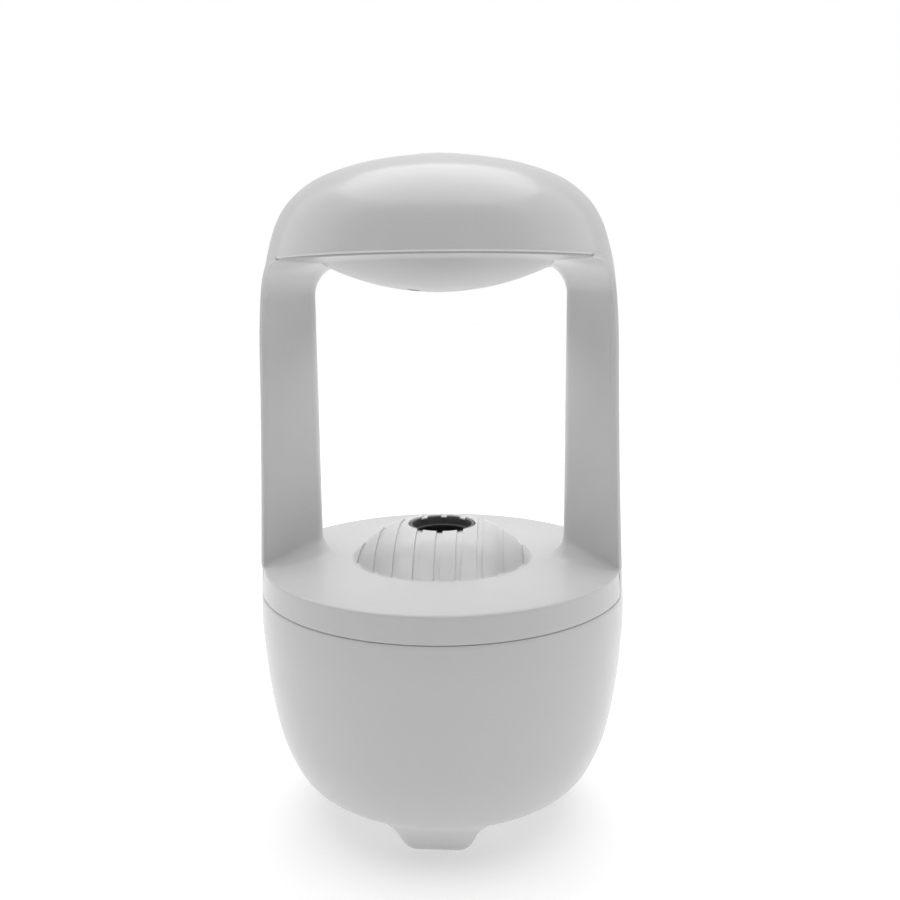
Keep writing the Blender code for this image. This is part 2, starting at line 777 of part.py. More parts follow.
def make_strainer(grooves):
    """The dark cup in the drain hole: its notched rim shows, and it lifts straight out."""
    bottom = LEDGE_TOP + GAP
    wall = 1.0 * MM
    outline = [
        (0.0, bottom + wall),
        (STRAINER_RADIUS - 2 * wall, bottom + wall),
        (STRAINER_RADIUS - 2 * wall, STRAINER_TOP - 3.4 * MM),
        (STRAINER_RADIUS - wall, STRAINER_TOP - 3.0 * MM),
        (STRAINER_RADIUS - wall, STRAINER_TOP),
        (STRAINER_RADIUS, STRAINER_TOP),
        (STRAINER_RADIUS, bottom),
        (0.0, bottom),
    ]
    cup = turned("strainer_cup", outline, "dark_grey")
    cut(cup, *grooves)
    places = [(0.0, 0.0)] + [on_circle(5.6 * MM, 60 * i) for i in range(6)]
    for number, (x, y) in enumerate(places, 1):
        hole = cylinder(f"drain_hole_{number}", 1.7 * MM, 80 * MM, 95 * MM, steps=8, location=(x, y, 0.0))
        cut(cup, hole)


def make_pump():
    """A small submerged pump: intake cover, volute, impeller and motor can."""
    place = {"location": (PUMP_X, 0.0, 0.0)}
    cover = cylinder("pump_cover", 13 * MM, 28.2 * MM, 29.7 * MM, "black_plastic", steps=24, **place)
    for number in range(5):
        x, y = on_circle(5 * MM, 72 * number)
        hole = cylinder(
            f"intake_{number + 1}", 1.5 * MM, 20 * MM, 35 * MM, steps=10, location=(PUMP_X + x, y, 0.0)
        )
        cut(cover, hole)

    volute = cylinder("pump_volute", 13 * MM, 30 * MM, 39 * MM, "black_plastic", steps=24, **place)
    nipple_place = {"location": (PUMP_NIPPLE_X, 0.0, 0.0)}
    join(volute, cylinder("pump_nipple", NIPPLE_RADIUS, 37 * MM, 47 * MM, steps=12, **nipple_place))
    chamber = cylinder("pump_chamber", 8.5 * MM, 25 * MM, 37.2 * MM, steps=24, **place)
    bore = cylinder("shaft_bore", 1.4 * MM, 30 * MM, 45 * MM, steps=12, **place)
    riser = cylinder("nipple_bore", NIPPLE_BORE, 33.5 * MM, 50 * MM, steps=12, **nipple_place)
    channel = block(
        "volute_channel",
        (PUMP_NIPPLE_X - 0.9 * MM, -0.9 * MM, 32.6 * MM),
        (PUMP_X, 0.9 * MM, 34.4 * MM),
    )
    cut(volute, chamber, bore, riser, channel)

    outline = [
        (0.0, 38.9 * MM),
        (1.0 * MM, 38.9 * MM),
        (1.0 * MM, 36.4 * MM),
        (2.6 * MM, 36.2 * MM),
        (2.6 * MM, 32.0 * MM),
        (7.6 * MM, 31.6 * MM),
        (7.6 * MM, 30.6 * MM),
        (0.0, 30.6 * MM),
    ]
    impeller = turned("pump_impeller", outline, "white_matte", steps=24, **place)
    for number in range(3):
        low, high = (-7.2 * MM, -0.5 * MM, 31 * MM), (7.2 * MM, 0.5 * MM, 35.8 * MM)
        blade = block(f"blades_{number + 1}", low, high)
        blade.location = (PUMP_X, 0.0, 0.0)
        blade.rotation_euler.z = math.radians(60 * number)
        join(impeller, blade)

    can = [
        (0.0, 54 * MM),
        (6.6 * MM, 54 * MM),
        (7.5 * MM, 53.1 * MM),
        (7.5 * MM, 39.3 * MM),
        (0.0, 39.3 * MM),
    ]
    turned("pump_motor", can, "steel", steps=24, **place)


def make_riser_hose():
    route = [
        (PUMP_NIPPLE_X, 0.0, 39.5 * MM),
        (PUMP_NIPPLE_X, 0.0, 50 * MM),
        (-40.5 * MM, 0.0, 60 * MM),
        (-46.5 * MM, 0.0, 76 * MM),
        (HOSE_X, 0.0, 89 * MM),
        (HOSE_X, 0.0, 100 * MM),
        (HOSE_X, 0.0, 150 * MM),
        (HOSE_X, 0.0, 198 * MM),
        (-49.0 * MM, 0.0, 204.2 * MM),
        (-44.5 * MM, 0.0, 209.3 * MM),
        (-39.0 * MM, 0.0, INLET_HEIGHT),
        (-30.7 * MM, 0.0, INLET_HEIGHT),
    ]
    path = smooth_path(route, 9 * MM)
    hose = tube("riser_hose", path, HOSE_RADIUS, "silicone")
    first, last = path[0], path[-1]
    through = [first - Vector((0, 0, 3 * MM)), *path, last + Vector((3 * MM, 0, 0))]
    cut(hose, tube("hose_bore", through, HOSE_BORE))


def make_float():
    """A level float that rides up its post as the tank fills."""
    x, y = FLOAT_PLACE
    outline = [
        (0.0, 47.2 * MM),
        (3.2 * MM, 47.2 * MM),
        (3.2 * MM, 46.0 * MM),
        (1.8 * MM, 46.0 * MM),
        (1.8 * MM, TANK_FLOOR + TANK_WALL + GAP),
        (0.0, TANK_FLOOR + TANK_WALL + GAP),
    ]
    turned("float_post", outline, "white_matte", steps=12, location=(x, y, 0.0))
    ring("float", 2.3 * MM, 8 * MM, 28.6 * MM, 36.6 * MM, "float_foam", steps=20, location=(x, y, 0.0))


def make_electronics():
    low = (-21 * MM, BOARD_Y, 34 * MM)
    back = BOARD_Y + BOARD_THICKNESS
    block("main_board", low, (21 * MM, back, 84 * MM), "board_green")
    face = back + GAP
    for name, x in (("power", -BUTTON_X), ("light", BUTTON_X)):
        half = 3 * MM
        switch_end = face + 3.5 * MM
        low = (x - half, face, BUTTON_HEIGHT - half)
        block(f"{name}_switch", low, (x + half, switch_end, BUTTON_HEIGHT + half), "black_plastic")
        make_button(f"{name}_button", x, switch_end + BUTTON_TRAVEL + 0.1 * MM)

    half_x, half_z = 4.5 * MM, 1.65 * MM
    socket_end = 61.4 * MM
    low = (-half_x, face, SOCKET_HEIGHT - half_z)
    socket = block("usb_socket", low, (half_x, socket_end, SOCKET_HEIGHT + half_z), "steel")
    skin = 0.35 * MM
    tongue_z, tongue_x = 0.4 * MM, 3.3 * MM
    low = (-half_x + skin, socket_end - 6.5 * MM, SOCKET_HEIGHT - half_z + skin)
    high = (half_x - skin, socket_end + 2 * MM, SOCKET_HEIGHT + half_z - skin)
    cut(socket, block("socket_room", low, high))
    low = (-tongue_x, socket_end - 7 * MM, SOCKET_HEIGHT - tongue_z)
    join(socket, block("socket_tongue", low, (tongue_x, socket_end - 1 * MM, SOCKET_HEIGHT + tongue_z)))


def make_button(name, x, start):
    """A push button along Y: the plunger, a retaining flange and the round cap outside."""
    end = 65.3 * MM
    flange_start, flange_end = 59.4 * MM, 60.6 * MM
    outline = [
        (0.0, -start),
        (1.6 * MM, -start),
        (1.6 * MM, -flange_start),
        (5.2 * MM, -flange_start),
        (5.2 * MM, -flange_end),
        (BUTTON_RADIUS, -flange_end),
        (BUTTON_RADIUS, -end + 0.5 * MM),
        (BUTTON_RADIUS - 0.5 * MM, -end),
        (0.0, -end),
    ]
    turned(
        name,
        outline,
        "white_gloss",
        steps=20,
        location=(x, 0.0, BUTTON_HEIGHT),
        rotation=(math.pi / 2, 0.0, 0.0),
    )


def make_wire_harness():
    route = [
        (24, 52, 80),
        (34, 50, 82),
        (46, 40, 84),
        (55.5, 24, 86),
        (59.6, 10, 88),
        (59.0, 1.2, 92),
        (58.0, 0, 98),
        (55.8, 0, 108),
        (55, 0, 120),
        (55, 0, 180),
        (53.2, 0, 192),
        (52, 0, 200),
        (49, 0, 204.6),
        (42, 0, 205.2),
        (35, 0, 204.0),
        (29.5, 0, 201.6),
        (25.5, 0, 200.4),
    ]
    path = smooth_path([(x * MM, y * MM, z * MM) for x, y, z in route], 9 * MM)
    tube("wire_harness", path, HARNESS_RADIUS, "black_plastic")


# ---------------------------------------------------------------- dome


def make_upper_reservoir():
    radius, wall = 30 * MM, 1.6 * MM
    bottom, top = 203.5 * MM, 216.0 * MM
    outline = [
        (radius - wall, top),
        (radius, top),
        (radius, bottom + 2 * MM),
        (radius - 2 * MM, bottom),
        (3.0 * MM, bottom),
        (3.0 * MM, bottom + wall),
        (radius - wall - 1 * MM, bottom + wall),
        (radius - wall, bottom + wall + 1 * MM),
    ]
    cup = turned("upper_reservoir", outline, "white_matte")
    side = {"location": (0.0, 0.0, INLET_HEIGHT), "rotation": (0.0, -math.pi / 2, 0.0)}
    join(cup, cylinder("inlet_nipple", NIPPLE_RADIUS, radius - wall / 2, 38 * MM, steps=12, **side))
    cut(cup, cylinder("inlet_bore", NIPPLE_BORE, 20 * MM, 45 * MM, steps=12, **side))

    outline = [
        (9.0 * MM, 225 * MM),
        (10.6 * MM, 225 * MM),
        (10.6 * MM, 218 * MM),
        (31 * MM, 218 * MM),
        (31 * MM, 216.4 * MM),
        (5.6 * MM, 216.4 * MM),
        (5.6 * MM, 218 * MM),
        (9.0 * MM, 218 * MM),
    ]
    turned("reservoir_lid", outline, "white_matte")


def make_drip_nozzle():
    outline = [
        (0.9, 206.5),
        (2.6, 206.5),
        (2.6, 201.1),
        (5.0, 201.1),
        (5.0, 199.5),
        (3.6, 198.9),
        (3.6, 191.9),
        (2.0, 191.9),
        (2.0, 189.8),
        (0.9, 189.8),
    ]
    turned("drip_nozzle", [(r * MM, z * MM) for r, z in outline], "white_matte", steps=16)
    seal = arc((3.75 * MM, 202.2 * MM), 0.75 * MM, 90.0, -225.0, 7)
    turned("nozzle_seal", seal, "silicone", steps=16)


def make_atomizer():
    cylinder("wick_pad", 5.2 * MM, 206.9 * MM, 219.3 * MM, "felt", steps=20)
    ring("atomizer_seal", 5.6 * MM, 8.7 * MM, 218.3 * MM, 219.4 * MM, "silicone", steps=24)
    cylinder("atomizer_disc", 8.3 * MM, 219.7 * MM, 220.3 * MM, "steel", steps=24)
    ring("atomizer_retainer", 5.2 * MM, 8.7 * MM, 220.6 * MM, 224.6 * MM, "white_matte", steps=24)
    ring("mist_chimney", 9.0 * MM, 10.6 * MM, 225.3 * MM, 230.8 * MM, "white_matte", steps=24)


def make_mist_cap():
    outline = [
        (0.0, 235.0),
        (9.6, 234.9),
        (11.8, 234.4),
        (12.9, 233.3),
        (12.9, 231.2),
        (14.3, 231.2),
        (14.3, 230.4),
        (12.9, 229.4),
        (12.9, 227.0),
        (11.3, 227.0),
        (11.3, 232.4),
        (0.0, 232.4),
    ]
    cap = turned("mist_cap", [(r * MM, z * MM) for r, z in outline], "white_gloss")
    outlet = cylinder(
        "mist_outlet", 3.6 * MM, 225 * MM, 240 * MM, steps=20, location=(0.0, -3.5 * MM, 0.0)
    )
    cut(cap, outlet)


def make_drip_light():
    ring("led_board", 5.4 * MM, 25 * MM, 197.0 * MM, 198.6 * MM, "board_green")
    x, y = STROBE_PLACE
    cylinder("strobe_led", 1.5 * MM, 192.9 * MM, 196.7 * MM, "led_clear", location=(x, y, 0.0))
    cylinder("led_window", 1.8 * MM, 190.4 * MM, 192.5 * MM, "smoked_lens", location=(x, y, 0.0))


def shade():
    for obj in PARTS.objects:
        obj.data.shade_smooth()
        obj.data.set_sharp_from_angle(angle=math.radians(35))


def main():
    front, rear = make_casing()
    cut_screw_holes(front, rear)
    cut_rear_openings(rear)
    make_casing_screws()
    grooves = groove_cutters()
    make_inner_frame(grooves)
    make_foot_pads()
    make_bottom_cover()
    make_chassis()
    make_tank()
    make_strainer(grooves)
    make_pump()
    make_riser_hose()
    make_float()
    make_electronics()
    make_wire_harness()
    make_upper_reservoir()
    make_drip_nozzle()
    make_atomizer()
    make_mist_cap()
    make_drip_light()
    shade()


main()
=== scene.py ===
"""Looks of a cool mist humidifier with a dripping-water window.

The CAD frame gives every piece its place. The shells that show are built again here with fine surfaces,
rolled edges and shadow gaps, and every piece gets a finish of its own. Metres, +Z up, front at -Y.
"""

import json
import math

import bmesh
import bpy
from mathutils import Euler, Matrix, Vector

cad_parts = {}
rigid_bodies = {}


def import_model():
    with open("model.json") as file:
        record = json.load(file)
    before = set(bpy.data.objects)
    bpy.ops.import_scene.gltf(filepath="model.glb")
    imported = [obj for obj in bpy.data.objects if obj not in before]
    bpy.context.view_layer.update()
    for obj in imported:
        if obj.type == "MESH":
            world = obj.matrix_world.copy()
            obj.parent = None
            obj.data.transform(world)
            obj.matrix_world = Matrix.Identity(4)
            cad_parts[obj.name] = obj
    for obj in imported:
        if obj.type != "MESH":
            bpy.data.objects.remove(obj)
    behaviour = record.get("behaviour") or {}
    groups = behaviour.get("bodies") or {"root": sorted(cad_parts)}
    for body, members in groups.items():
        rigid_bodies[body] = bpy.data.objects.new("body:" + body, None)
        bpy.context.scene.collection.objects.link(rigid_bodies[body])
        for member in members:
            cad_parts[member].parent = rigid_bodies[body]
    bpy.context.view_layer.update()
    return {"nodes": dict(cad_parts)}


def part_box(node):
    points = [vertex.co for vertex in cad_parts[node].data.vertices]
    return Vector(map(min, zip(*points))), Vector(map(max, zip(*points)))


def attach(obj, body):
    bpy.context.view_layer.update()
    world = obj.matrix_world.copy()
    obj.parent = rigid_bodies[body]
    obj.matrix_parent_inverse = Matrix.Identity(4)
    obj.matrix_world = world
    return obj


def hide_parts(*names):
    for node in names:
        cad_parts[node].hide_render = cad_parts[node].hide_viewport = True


bl_info = {
    "name": "Cool Mist Humidifier",
    "version": (1, 0, 0),
    "blender": (4, 5, 0),
    "location": "View3D > Sidebar > Humidifier",
    "description": "Builds the shells, fittings, finishes and studio of a dripping-water humidifier",
    "category": "Add Mesh",
}

for left_over in list(bpy.data.objects):
    bpy.data.objects.remove(left_over, do_unlink=True)

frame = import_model()

MM = 0.001
HOUSING = "humidifier"

# Casing outline from the cap's hole down to the bottom cover's, as (radius, height) in millimetres.
CASING_OUTLINE = [
    (13.3, 233.8),
    (23.0, 232.3),
    (33.5, 229.7),
    (43.5, 225.6),
    (50.8, 219.8),
    (55.4, 213.0),
    (58.2, 205.0),
    (60.4, 194.6),
    (62.0, 176.8),
    (62.7, 152.0),
    (63.7, 124.0),
    (64.8, 99.0),
    (65.8, 78.0),
    (65.3, 66.0),
    (63.8, 50.3),
    (60.6, 33.0),
    (55.4, 20.2),
    (50.4, 15.6),
    (43.0, 12.8),
    (23.3, 12.0),
]
WIDEST = 65.78 * MM

FEET = {"front": -90.0, "right": 30.0, "left": 150.0}
FEET_CIRCLE = 31.6 * MM

# Rings of a foot in millimetres: height, nearest and farthest reach from the axis, half width, corner.
FOOT_RINGS = [
    (0.50, 25.6, 38.0, 9.4, 3.2),
    (0.58, 25.1, 38.9, 10.3, 3.6),
    (0.90, 24.8, 39.4, 10.8, 4.0),
    (1.80, 24.4, 40.5, 11.6, 4.8),
    (2.80, 24.3, 41.4, 12.2, 5.4),
    (4.00, 24.3, 42.2, 12.7, 5.8),
    (5.50, 24.3, 43.3, 13.3, 6.4),
    (7.00, 24.3, 44.4, 13.8, 6.8),
]

CASING_SCREWS = [(-38.0, 219.0), (38.0, 219.0), (-41.0, 19.0), (41.0, 19.0)]
SCREW_BORE = 2.9 * MM
COVER_SCREWS = (90.0, 210.0, 330.0)
COVER_SCREW_CIRCLE = 18.0 * MM

# How far each casing half stays from the parting plane.
SEAM_GAP = 0.15 * MM

# How far an upright's skin lies inside the casing, and the radius of its edges.
UPRIGHT_INSET = 0.55 * MM
UPRIGHT_EDGE = 0.35 * MM

BUTTONS = {"power_button": -9 * MM, "light_button": 9 * MM}
BUTTON_HEIGHT = 66 * MM
SOCKET_HEIGHT = 42 * MM
LENS_PLACE = (-8.5 * MM, -6 * MM)
OUTLET_PLACE = (0.0, -3.5 * MM)

SHARP_ANGLE = math.radians(40.0)


# ---------------------------------------------------------------- settings


class CasingSettings(bpy.types.PropertyGroup):
    """Sizes of the outer casing."""

    wall: bpy.props.FloatProperty(
        name="Wall", description="Thickness of the casing", default=1.8 * MM, unit="LENGTH"
    )
    cut_roll: bpy.props.FloatProperty(
        name="Window Edge",
        description="Radius of the rounded edge round the window",
        default=0.8 * MM,
        unit="LENGTH",
    )
    seam_roll: bpy.props.FloatProperty(
        name="Seam Edge",
        description="Radius of the edges along the parting line and the holes",
        default=0.3 * MM,
        unit="LENGTH",
    )
    cut_y: bpy.props.FloatProperty(
        name="Strip Half Width",
        description="From the middle to each edge of a side strip",
        default=18.0 * MM,
        unit="LENGTH",
    )
    cut_bottom: bpy.props.FloatProperty(
        name="Window Bottom", description="Height of the bowl's edge", default=84.8 * MM, unit="LENGTH"
    )
    cut_top: bpy.props.FloatProperty(
        name="Window Top", description="Height of the dome's edge", default=200.0 * MM, unit="LENGTH"
    )
    bottom_corner: bpy.props.FloatProperty(
        name="Bottom Corner", description="Radius of the lower corners", default=3.0 * MM, unit="LENGTH"
    )
    top_corner: bpy.props.FloatProperty(
        name="Top Corner", description="Radius of the upper corners", default=13.0 * MM, unit="LENGTH"
    )


class FrameSettings(bpy.types.PropertyGroup):
    """Sizes of the deck, the uprights and the ceiling."""

    wall: bpy.props.FloatProperty(
        name="Wall", description="Thickness of the inner frame", default=1.6 * MM, unit="LENGTH"
    )
    gap: bpy.props.FloatProperty(
        name="Shadow Gap",
        description="Gap between the frame and the casing's edge",
        default=0.12 * MM,
        unit="LENGTH",
    )
    deck_top: bpy.props.FloatProperty(
        name="Deck Height", description="Height of the deck", default=94.0 * MM, unit="LENGTH"
    )
    deck_radius: bpy.props.FloatProperty(
        name="Deck Radius", description="Radius of the deck's edge", default=64.7 * MM, unit="LENGTH"
    )
    deck_edge: bpy.props.FloatProperty(
        name="Deck Edge", description="Radius of the deck's rounded edge", default=0.9 * MM, unit="LENGTH"
    )
    mound_radius: bpy.props.FloatProperty(
        name="Mound Radius", description="Radius of the ribbed mound", default=32.7 * MM, unit="LENGTH"
    )
    mound_rise: bpy.props.FloatProperty(
        name="Mound Rise", description="Height of the mound over the deck", default=12.7 * MM, unit="LENGTH"
    )
    hole_radius: bpy.props.FloatProperty(
        name="Drain Hole", description="Radius of the drain hole", default=12.2 * MM, unit="LENGTH"
    )
    groove_count: bpy.props.IntProperty(
        name="Grooves", description="Number of grooves across the mound", default=9, min=1
    )
    groove_pitch: bpy.props.FloatProperty(
        name="Groove Pitch", description="From one groove to the next", default=7.15 * MM, unit="LENGTH"
    )
    groove_width: bpy.props.FloatProperty(
        name="Groove Width", description="Width of a groove", default=2.2 * MM, unit="LENGTH"
    )
    groove_depth: bpy.props.FloatProperty(
        name="Groove Depth", description="Depth of a groove", default=1.03 * MM, unit="LENGTH"
    )
    nose_x: bpy.props.FloatProperty(
        name="Window Half Width",
        description="From the middle to an upright's nose",
        default=44.4 * MM,
        unit="LENGTH",
    )
    nose_radius: bpy.props.FloatProperty(
        name="Nose Radius", description="Radius of an upright's nose", default=5.0 * MM, unit="LENGTH"
    )
    ceiling: bpy.props.FloatProperty(
        name="Ceiling Height", description="Height of the ceiling", default=199.2 * MM, unit="LENGTH"
    )
    ceiling_radius: bpy.props.FloatProperty(
        name="Ceiling Radius", description="Radius of the ceiling's flange", default=58.8 * MM, unit="LENGTH"
    )
    bulge_radius: bpy.props.FloatProperty(
        name="Bulge Radius", description="Radius of the hanging bulge", default=41.0 * MM, unit="LENGTH"
    )
    bulge_lowest: bpy.props.FloatProperty(
        name="Bulge Height",
        description="Height of the bulge's lowest point",
        default=189.4 * MM,
        unit="LENGTH",
    )


class FinishSettings(bpy.types.PropertyGroup):
    """Colours and gloss of the finishes."""

    white: bpy.props.FloatVectorProperty(
        name="White", description="Colour of the shells", default=(0.62, 0.62, 0.62), subtype="COLOR"
    )
    cup: bpy.props.FloatVectorProperty(
        name="Cup Grey",
        description="Colour of the strainer cup's collar",
        default=(0.10, 0.10, 0.10),
        subtype="COLOR",
    )
    rubber: bpy.props.FloatVectorProperty(
        name="Pad Grey", description="Colour of the foot pads", default=(0.36, 0.36, 0.36), subtype="COLOR"
    )
    gloss: bpy.props.FloatProperty(
        name="Shell Roughness", description="Roughness of the shells", default=0.30, min=0.0, max=1.0
    )


class StageSettings(bpy.types.PropertyGroup):
    """Camera and lights."""

    lens: bpy.props.FloatProperty(name="Lens", description="Focal length in millimetres", default=34.82)
    distance: bpy.props.FloatProperty(
        name="Camera Distance",
        description="From the object's axis to the camera, over the floor",
        default=310.9 * MM,
        unit="LENGTH",
    )
    height: bpy.props.FloatProperty(
        name="Camera Height", description="Height of the camera", default=184.8 * MM, unit="LENGTH"
    )
    azimuth: bpy.props.FloatProperty(
        name="Camera Azimuth",
        description="How far the camera stands round to the right",
        default=math.radians(3.8),
        subtype="ANGLE",
    )
    pitch: bpy.props.FloatProperty(
        name="Camera Pitch",
        description="How far the camera looks down",
        default=math.radians(9.44),
        subtype="ANGLE",
    )
    roll: bpy.props.FloatProperty(
        name="Camera Roll", description="Tilt about the view", default=math.radians(-0.556), subtype="ANGLE"
    )
    shift: bpy.props.FloatProperty(
        name="Camera Shift", description="Sideways shift of the frame", default=0.00976
    )
    top_power: bpy.props.FloatProperty(
        name="Overhead Light", description="Strength of the wide light from above", default=2.0
    )
    dome_power: bpy.props.FloatProperty(
        name="Dome Light", description="Power of the softbox over the dome in watts", default=0.5
    )
    deck_power: bpy.props.FloatProperty(
        name="Deck Light", description="Power of the small softbox over the deck in watts", default=0.024
    )
    rear_power: bpy.props.FloatProperty(
        name="Rear Light", description="Power of the softbox behind in watts", default=1.6
    )
    side_power: bpy.props.FloatProperty(
        name="Side Lights", description="Power of each side softbox in watts", default=1.5
    )
    surround: bpy.props.FloatProperty(
        name="Surround", description="Brightness of the studio around", default=0.10
    )


# ---------------------------------------------------------------- finishes


class Wire:
    """A socket of a finish, so that shader maths is written as an expression."""

    def __init__(self, finish, socket):
        self.finish = finish
        self.socket = socket

    def maths(self, operation, first, second):
        return self.finish.node("ShaderNodeMath", {"operation": operation}, {0: first, 1: second})

    def __add__(self, other):
        return self.maths("ADD", self, other)

    def __radd__(self, other):
        return self.maths("ADD", other, self)

    def __sub__(self, other):
        return self.maths("SUBTRACT", self, other)

    def __rsub__(self, other):
        return self.maths("SUBTRACT", other, self)

    def __mul__(self, other):
        return self.maths("MULTIPLY", self, other)

    def __rmul__(self, other):
        return self.maths("MULTIPLY", other, self)


class Finish:
    """One procedural material."""

    def __init__(self, name):
        self.material = bpy.data.materials.new(name)
        self.material.use_nodes = True
        self.tree = self.material.node_tree
        self.shader = self.tree.nodes["Principled BSDF"]
        self.place = self.node("ShaderNodeTexCoord", output="Object")

    def node(self, kind, settings=None, inputs=None, output=0):
        """Adds a node: its settings first, then its sockets' values or links."""
        made = self.tree.nodes.new(kind)
        for key, value in (settings or {}).items():
            setattr(made, key, value)
        for key, value in (inputs or {}).items():
            self.feed(made.inputs[key], value)
        return Wire(self, made.outputs[output])

    def feed(self, socket, value):
        if isinstance(value, Wire):
            self.tree.links.new(value.socket, socket)
        else:
            socket.default_value = value

    def noise(self, scale, detail=2.0, place=None, distortion=0.0):
        """Soft noise from 0 to 1, with its scale in features per metre."""
        values = {"Vector": place or self.place, "Scale": scale, "Detail": detail, "Distortion": distortion}
        return self.node("ShaderNodeTexNoise", None, values)

    def cells(self, scale, feature="F1", place=None):
        values = {"Vector": place or self.place, "Scale": scale}
        return self.node("ShaderNodeTexVoronoi", {"feature": feature}, values, "Distance")

    def stretched(self, x, y, z):
        """The place, stretched along its axes."""
        return self.node(
            "ShaderNodeVectorMath", {"operation": "MULTIPLY"}, {0: self.place, 1: (x, y, z)}
        )

    def ramp(self, wire, low, high):
        """A value carried from low..high to 0..1."""
        values = {"Value": wire, "From Min": low, "From Max": high}
        return self.node("ShaderNodeMapRange", {"clamp": True}, values)

    def mix(self, share, first, second):
        sockets = {0: share, 6: paint(first), 7: paint(second)}
        return self.node("ShaderNodeMix", {"data_type": "RGBA"}, sockets, 2)

    def bump(self, height, depth, strength=1.0):
        values = {"Height": height, "Distance": depth, "Strength": strength}
        self.feed(self.shader.inputs["Normal"], self.node("ShaderNodeBump", None, values))

    def set(self, **sockets):
        for key, value in sockets.items():
            self.feed(self.shader.inputs[key.replace("_", " ").title()], value)
        return self.material


def paint(colour):
    return colour if isinstance(colour, Wire) else (*tuple(colour)[:3], 1.0)


def tinted(colour, share):
    return tuple(min(1.0, part * share) for part in tuple(colour)[:3])


def shell_white(name, colour, roughness, coat=0.0):
    """Glossy moulded plastic: faint clouding, a fine moulded texture and uneven gloss."""
    finish = Finish(name)
    cloud = finish.noise(24.0, 3.0)
    smear = finish.noise(95.0, 4.0, distortion=0.6)
    peel = finish.noise(1500.0, 2.0)
    dust = finish.ramp(finish.noise(5200.0, 1.0), 0.74, 0.80)
    clean = finish.mix(cloud, tinted(colour, 0.975), colour)
    finish.bump(peel, 0.012 * MM, 0.5)
    return finish.set(
        base_color=finish.mix(dust * 0.16, clean, tinted(colour, 0.55)),
        roughness=roughness - 0.04 + smear * 0.09 + dust * 0.15,
        coat_weight=coat,
        coat_roughness=0.1,
    )


def plain_plastic(name, colour, roughness, grain=0.02 * MM):
    """Satin moulded plastic with a spark-eroded grain."""
    finish = Finish(name)
    cloud = finish.noise(40.0, 2.0)
    texture = finish.cells(2600.0)
    finish.bump(texture, grain, 0.6)
    return finish.set(
        base_color=finish.mix(cloud, tinted(colour, 0.93), tinted(colour, 1.04)),
        roughness=roughness - 0.05 + finish.noise(180.0, 3.0) * 0.12,
    )


def pad_rubber(name, colour):
    finish = Finish(name)
    speck = finish.noise(3500.0, 3.0)
    finish.bump(finish.noise(1800.0, 4.0), 0.05 * MM, 0.8)
    return finish.set(
        base_color=finish.mix(speck, tinted(colour, 0.8), tinted(colour, 1.15)),
        roughness=0.68 + finish.noise(300.0, 3.0) * 0.2,
    )


def soft_silicone(name):
    finish = Finish(name)
    haze = finish.noise(160.0, 3.0)
    finish.bump(finish.noise(900.0, 2.0), 0.03 * MM, 0.5)
    return finish.set(
        base_color=finish.mix(haze, (0.66, 0.70, 0.72), (0.80, 0.82, 0.83)),
        roughness=0.38 + haze * 0.2,
        transmission_weight=0.25,
    )


def circuit_board(name):
    """Green solder mask over copper tracks, with bare pads between them."""
    finish = Finish(name)
    tracks = finish.cells(420.0, "DISTANCE_TO_EDGE", finish.stretched(1.0, 0.2, 1.0))
    track = 1.0 - finish.ramp(tracks, 0.05, 0.09)
    pad = finish.cells(260.0)
    bare = 1.0 - finish.ramp(pad, 0.10, 0.14)
    masked = finish.mix(track, (0.012, 0.13, 0.045), (0.04, 0.25, 0.09))
    finish.bump(track, 0.04 * MM, 0.7)
    return finish.set(
        base_color=finish.mix(bare, masked, (0.72, 0.60, 0.38)),
        roughness=0.42 - bare * 0.12,
        metallic=bare * 0.9,
    )


def drawn_steel(name, roughness=0.28):
    """Steel with fine drawing lines and faint staining."""
    finish = Finish(name)
    lines = finish.noise(240.0, 4.0, finish.stretched(1.0, 1.0, 22.0))
    stain = finish.noise(120.0, 3.0)
    finish.bump(lines, 0.01 * MM, 0.4)
    return finish.set(
        base_color=finish.mix(stain, (0.50, 0.50, 0.51), (0.68, 0.68, 0.67)),
        roughness=roughness + lines * 0.16,
        metallic=1.0,
    )


def pressed_felt(name):
    finish = Finish(name)
    fibres = finish.noise(1300.0, 6.0, finish.stretched(1.0, 1.0, 0.35), 1.2)
    finish.bump(fibres, 0.25 * MM, 0.9)
    return finish.set(
        base_color=finish.mix(fibres, (0.62, 0.60, 0.55), (0.90, 0.89, 0.85)),
        roughness=0.9 + fibres * 0.08,
    )


def closed_foam(name):
    finish = Finish(name)
    cell = finish.cells(1500.0)
    finish.bump(cell, 0.15 * MM, 0.8)
    return finish.set(
        base_color=finish.mix(cell, (0.90, 0.89, 0.84), (0.70, 0.68, 0.62)),
        roughness=0.78 + cell * 0.1,
    )


def clear_lens(name, colour, transmission):
    """A polished moulded lens, with faint flow lines."""
    finish = Finish(name)
    flow = finish.noise(700.0, 2.0, distortion=0.8)
    finish.bump(flow, 0.006 * MM, 0.4)
    return finish.set(
        base_color=finish.mix(flow, tinted(colour, 0.85), colour),
        roughness=0.06 + flow * 0.06,
        transmission_weight=transmission,
        coat_weight=0.5,
    )


def pale_floor(name):
    finish = Finish(name)
    fine = finish.noise(14.0, 4.0)
    finish.bump(finish.noise(420.0, 3.0), 0.03 * MM, 0.3)
    return finish.set(
        base_color=finish.mix(fine, (0.70, 0.70, 0.70), (0.73, 0.73, 0.73)),
        roughness=0.55 + fine * 0.1,
        emission_color=(1.0, 1.0, 1.0, 1.0),
        emission_strength=0.42,
    )


def finish_named(name):
    found = bpy.data.materials.get(name)
    if found is None:
        raise RuntimeError(f"make the finishes first: there is no {name}")
    return found


# ---------------------------------------------------------------- shapes


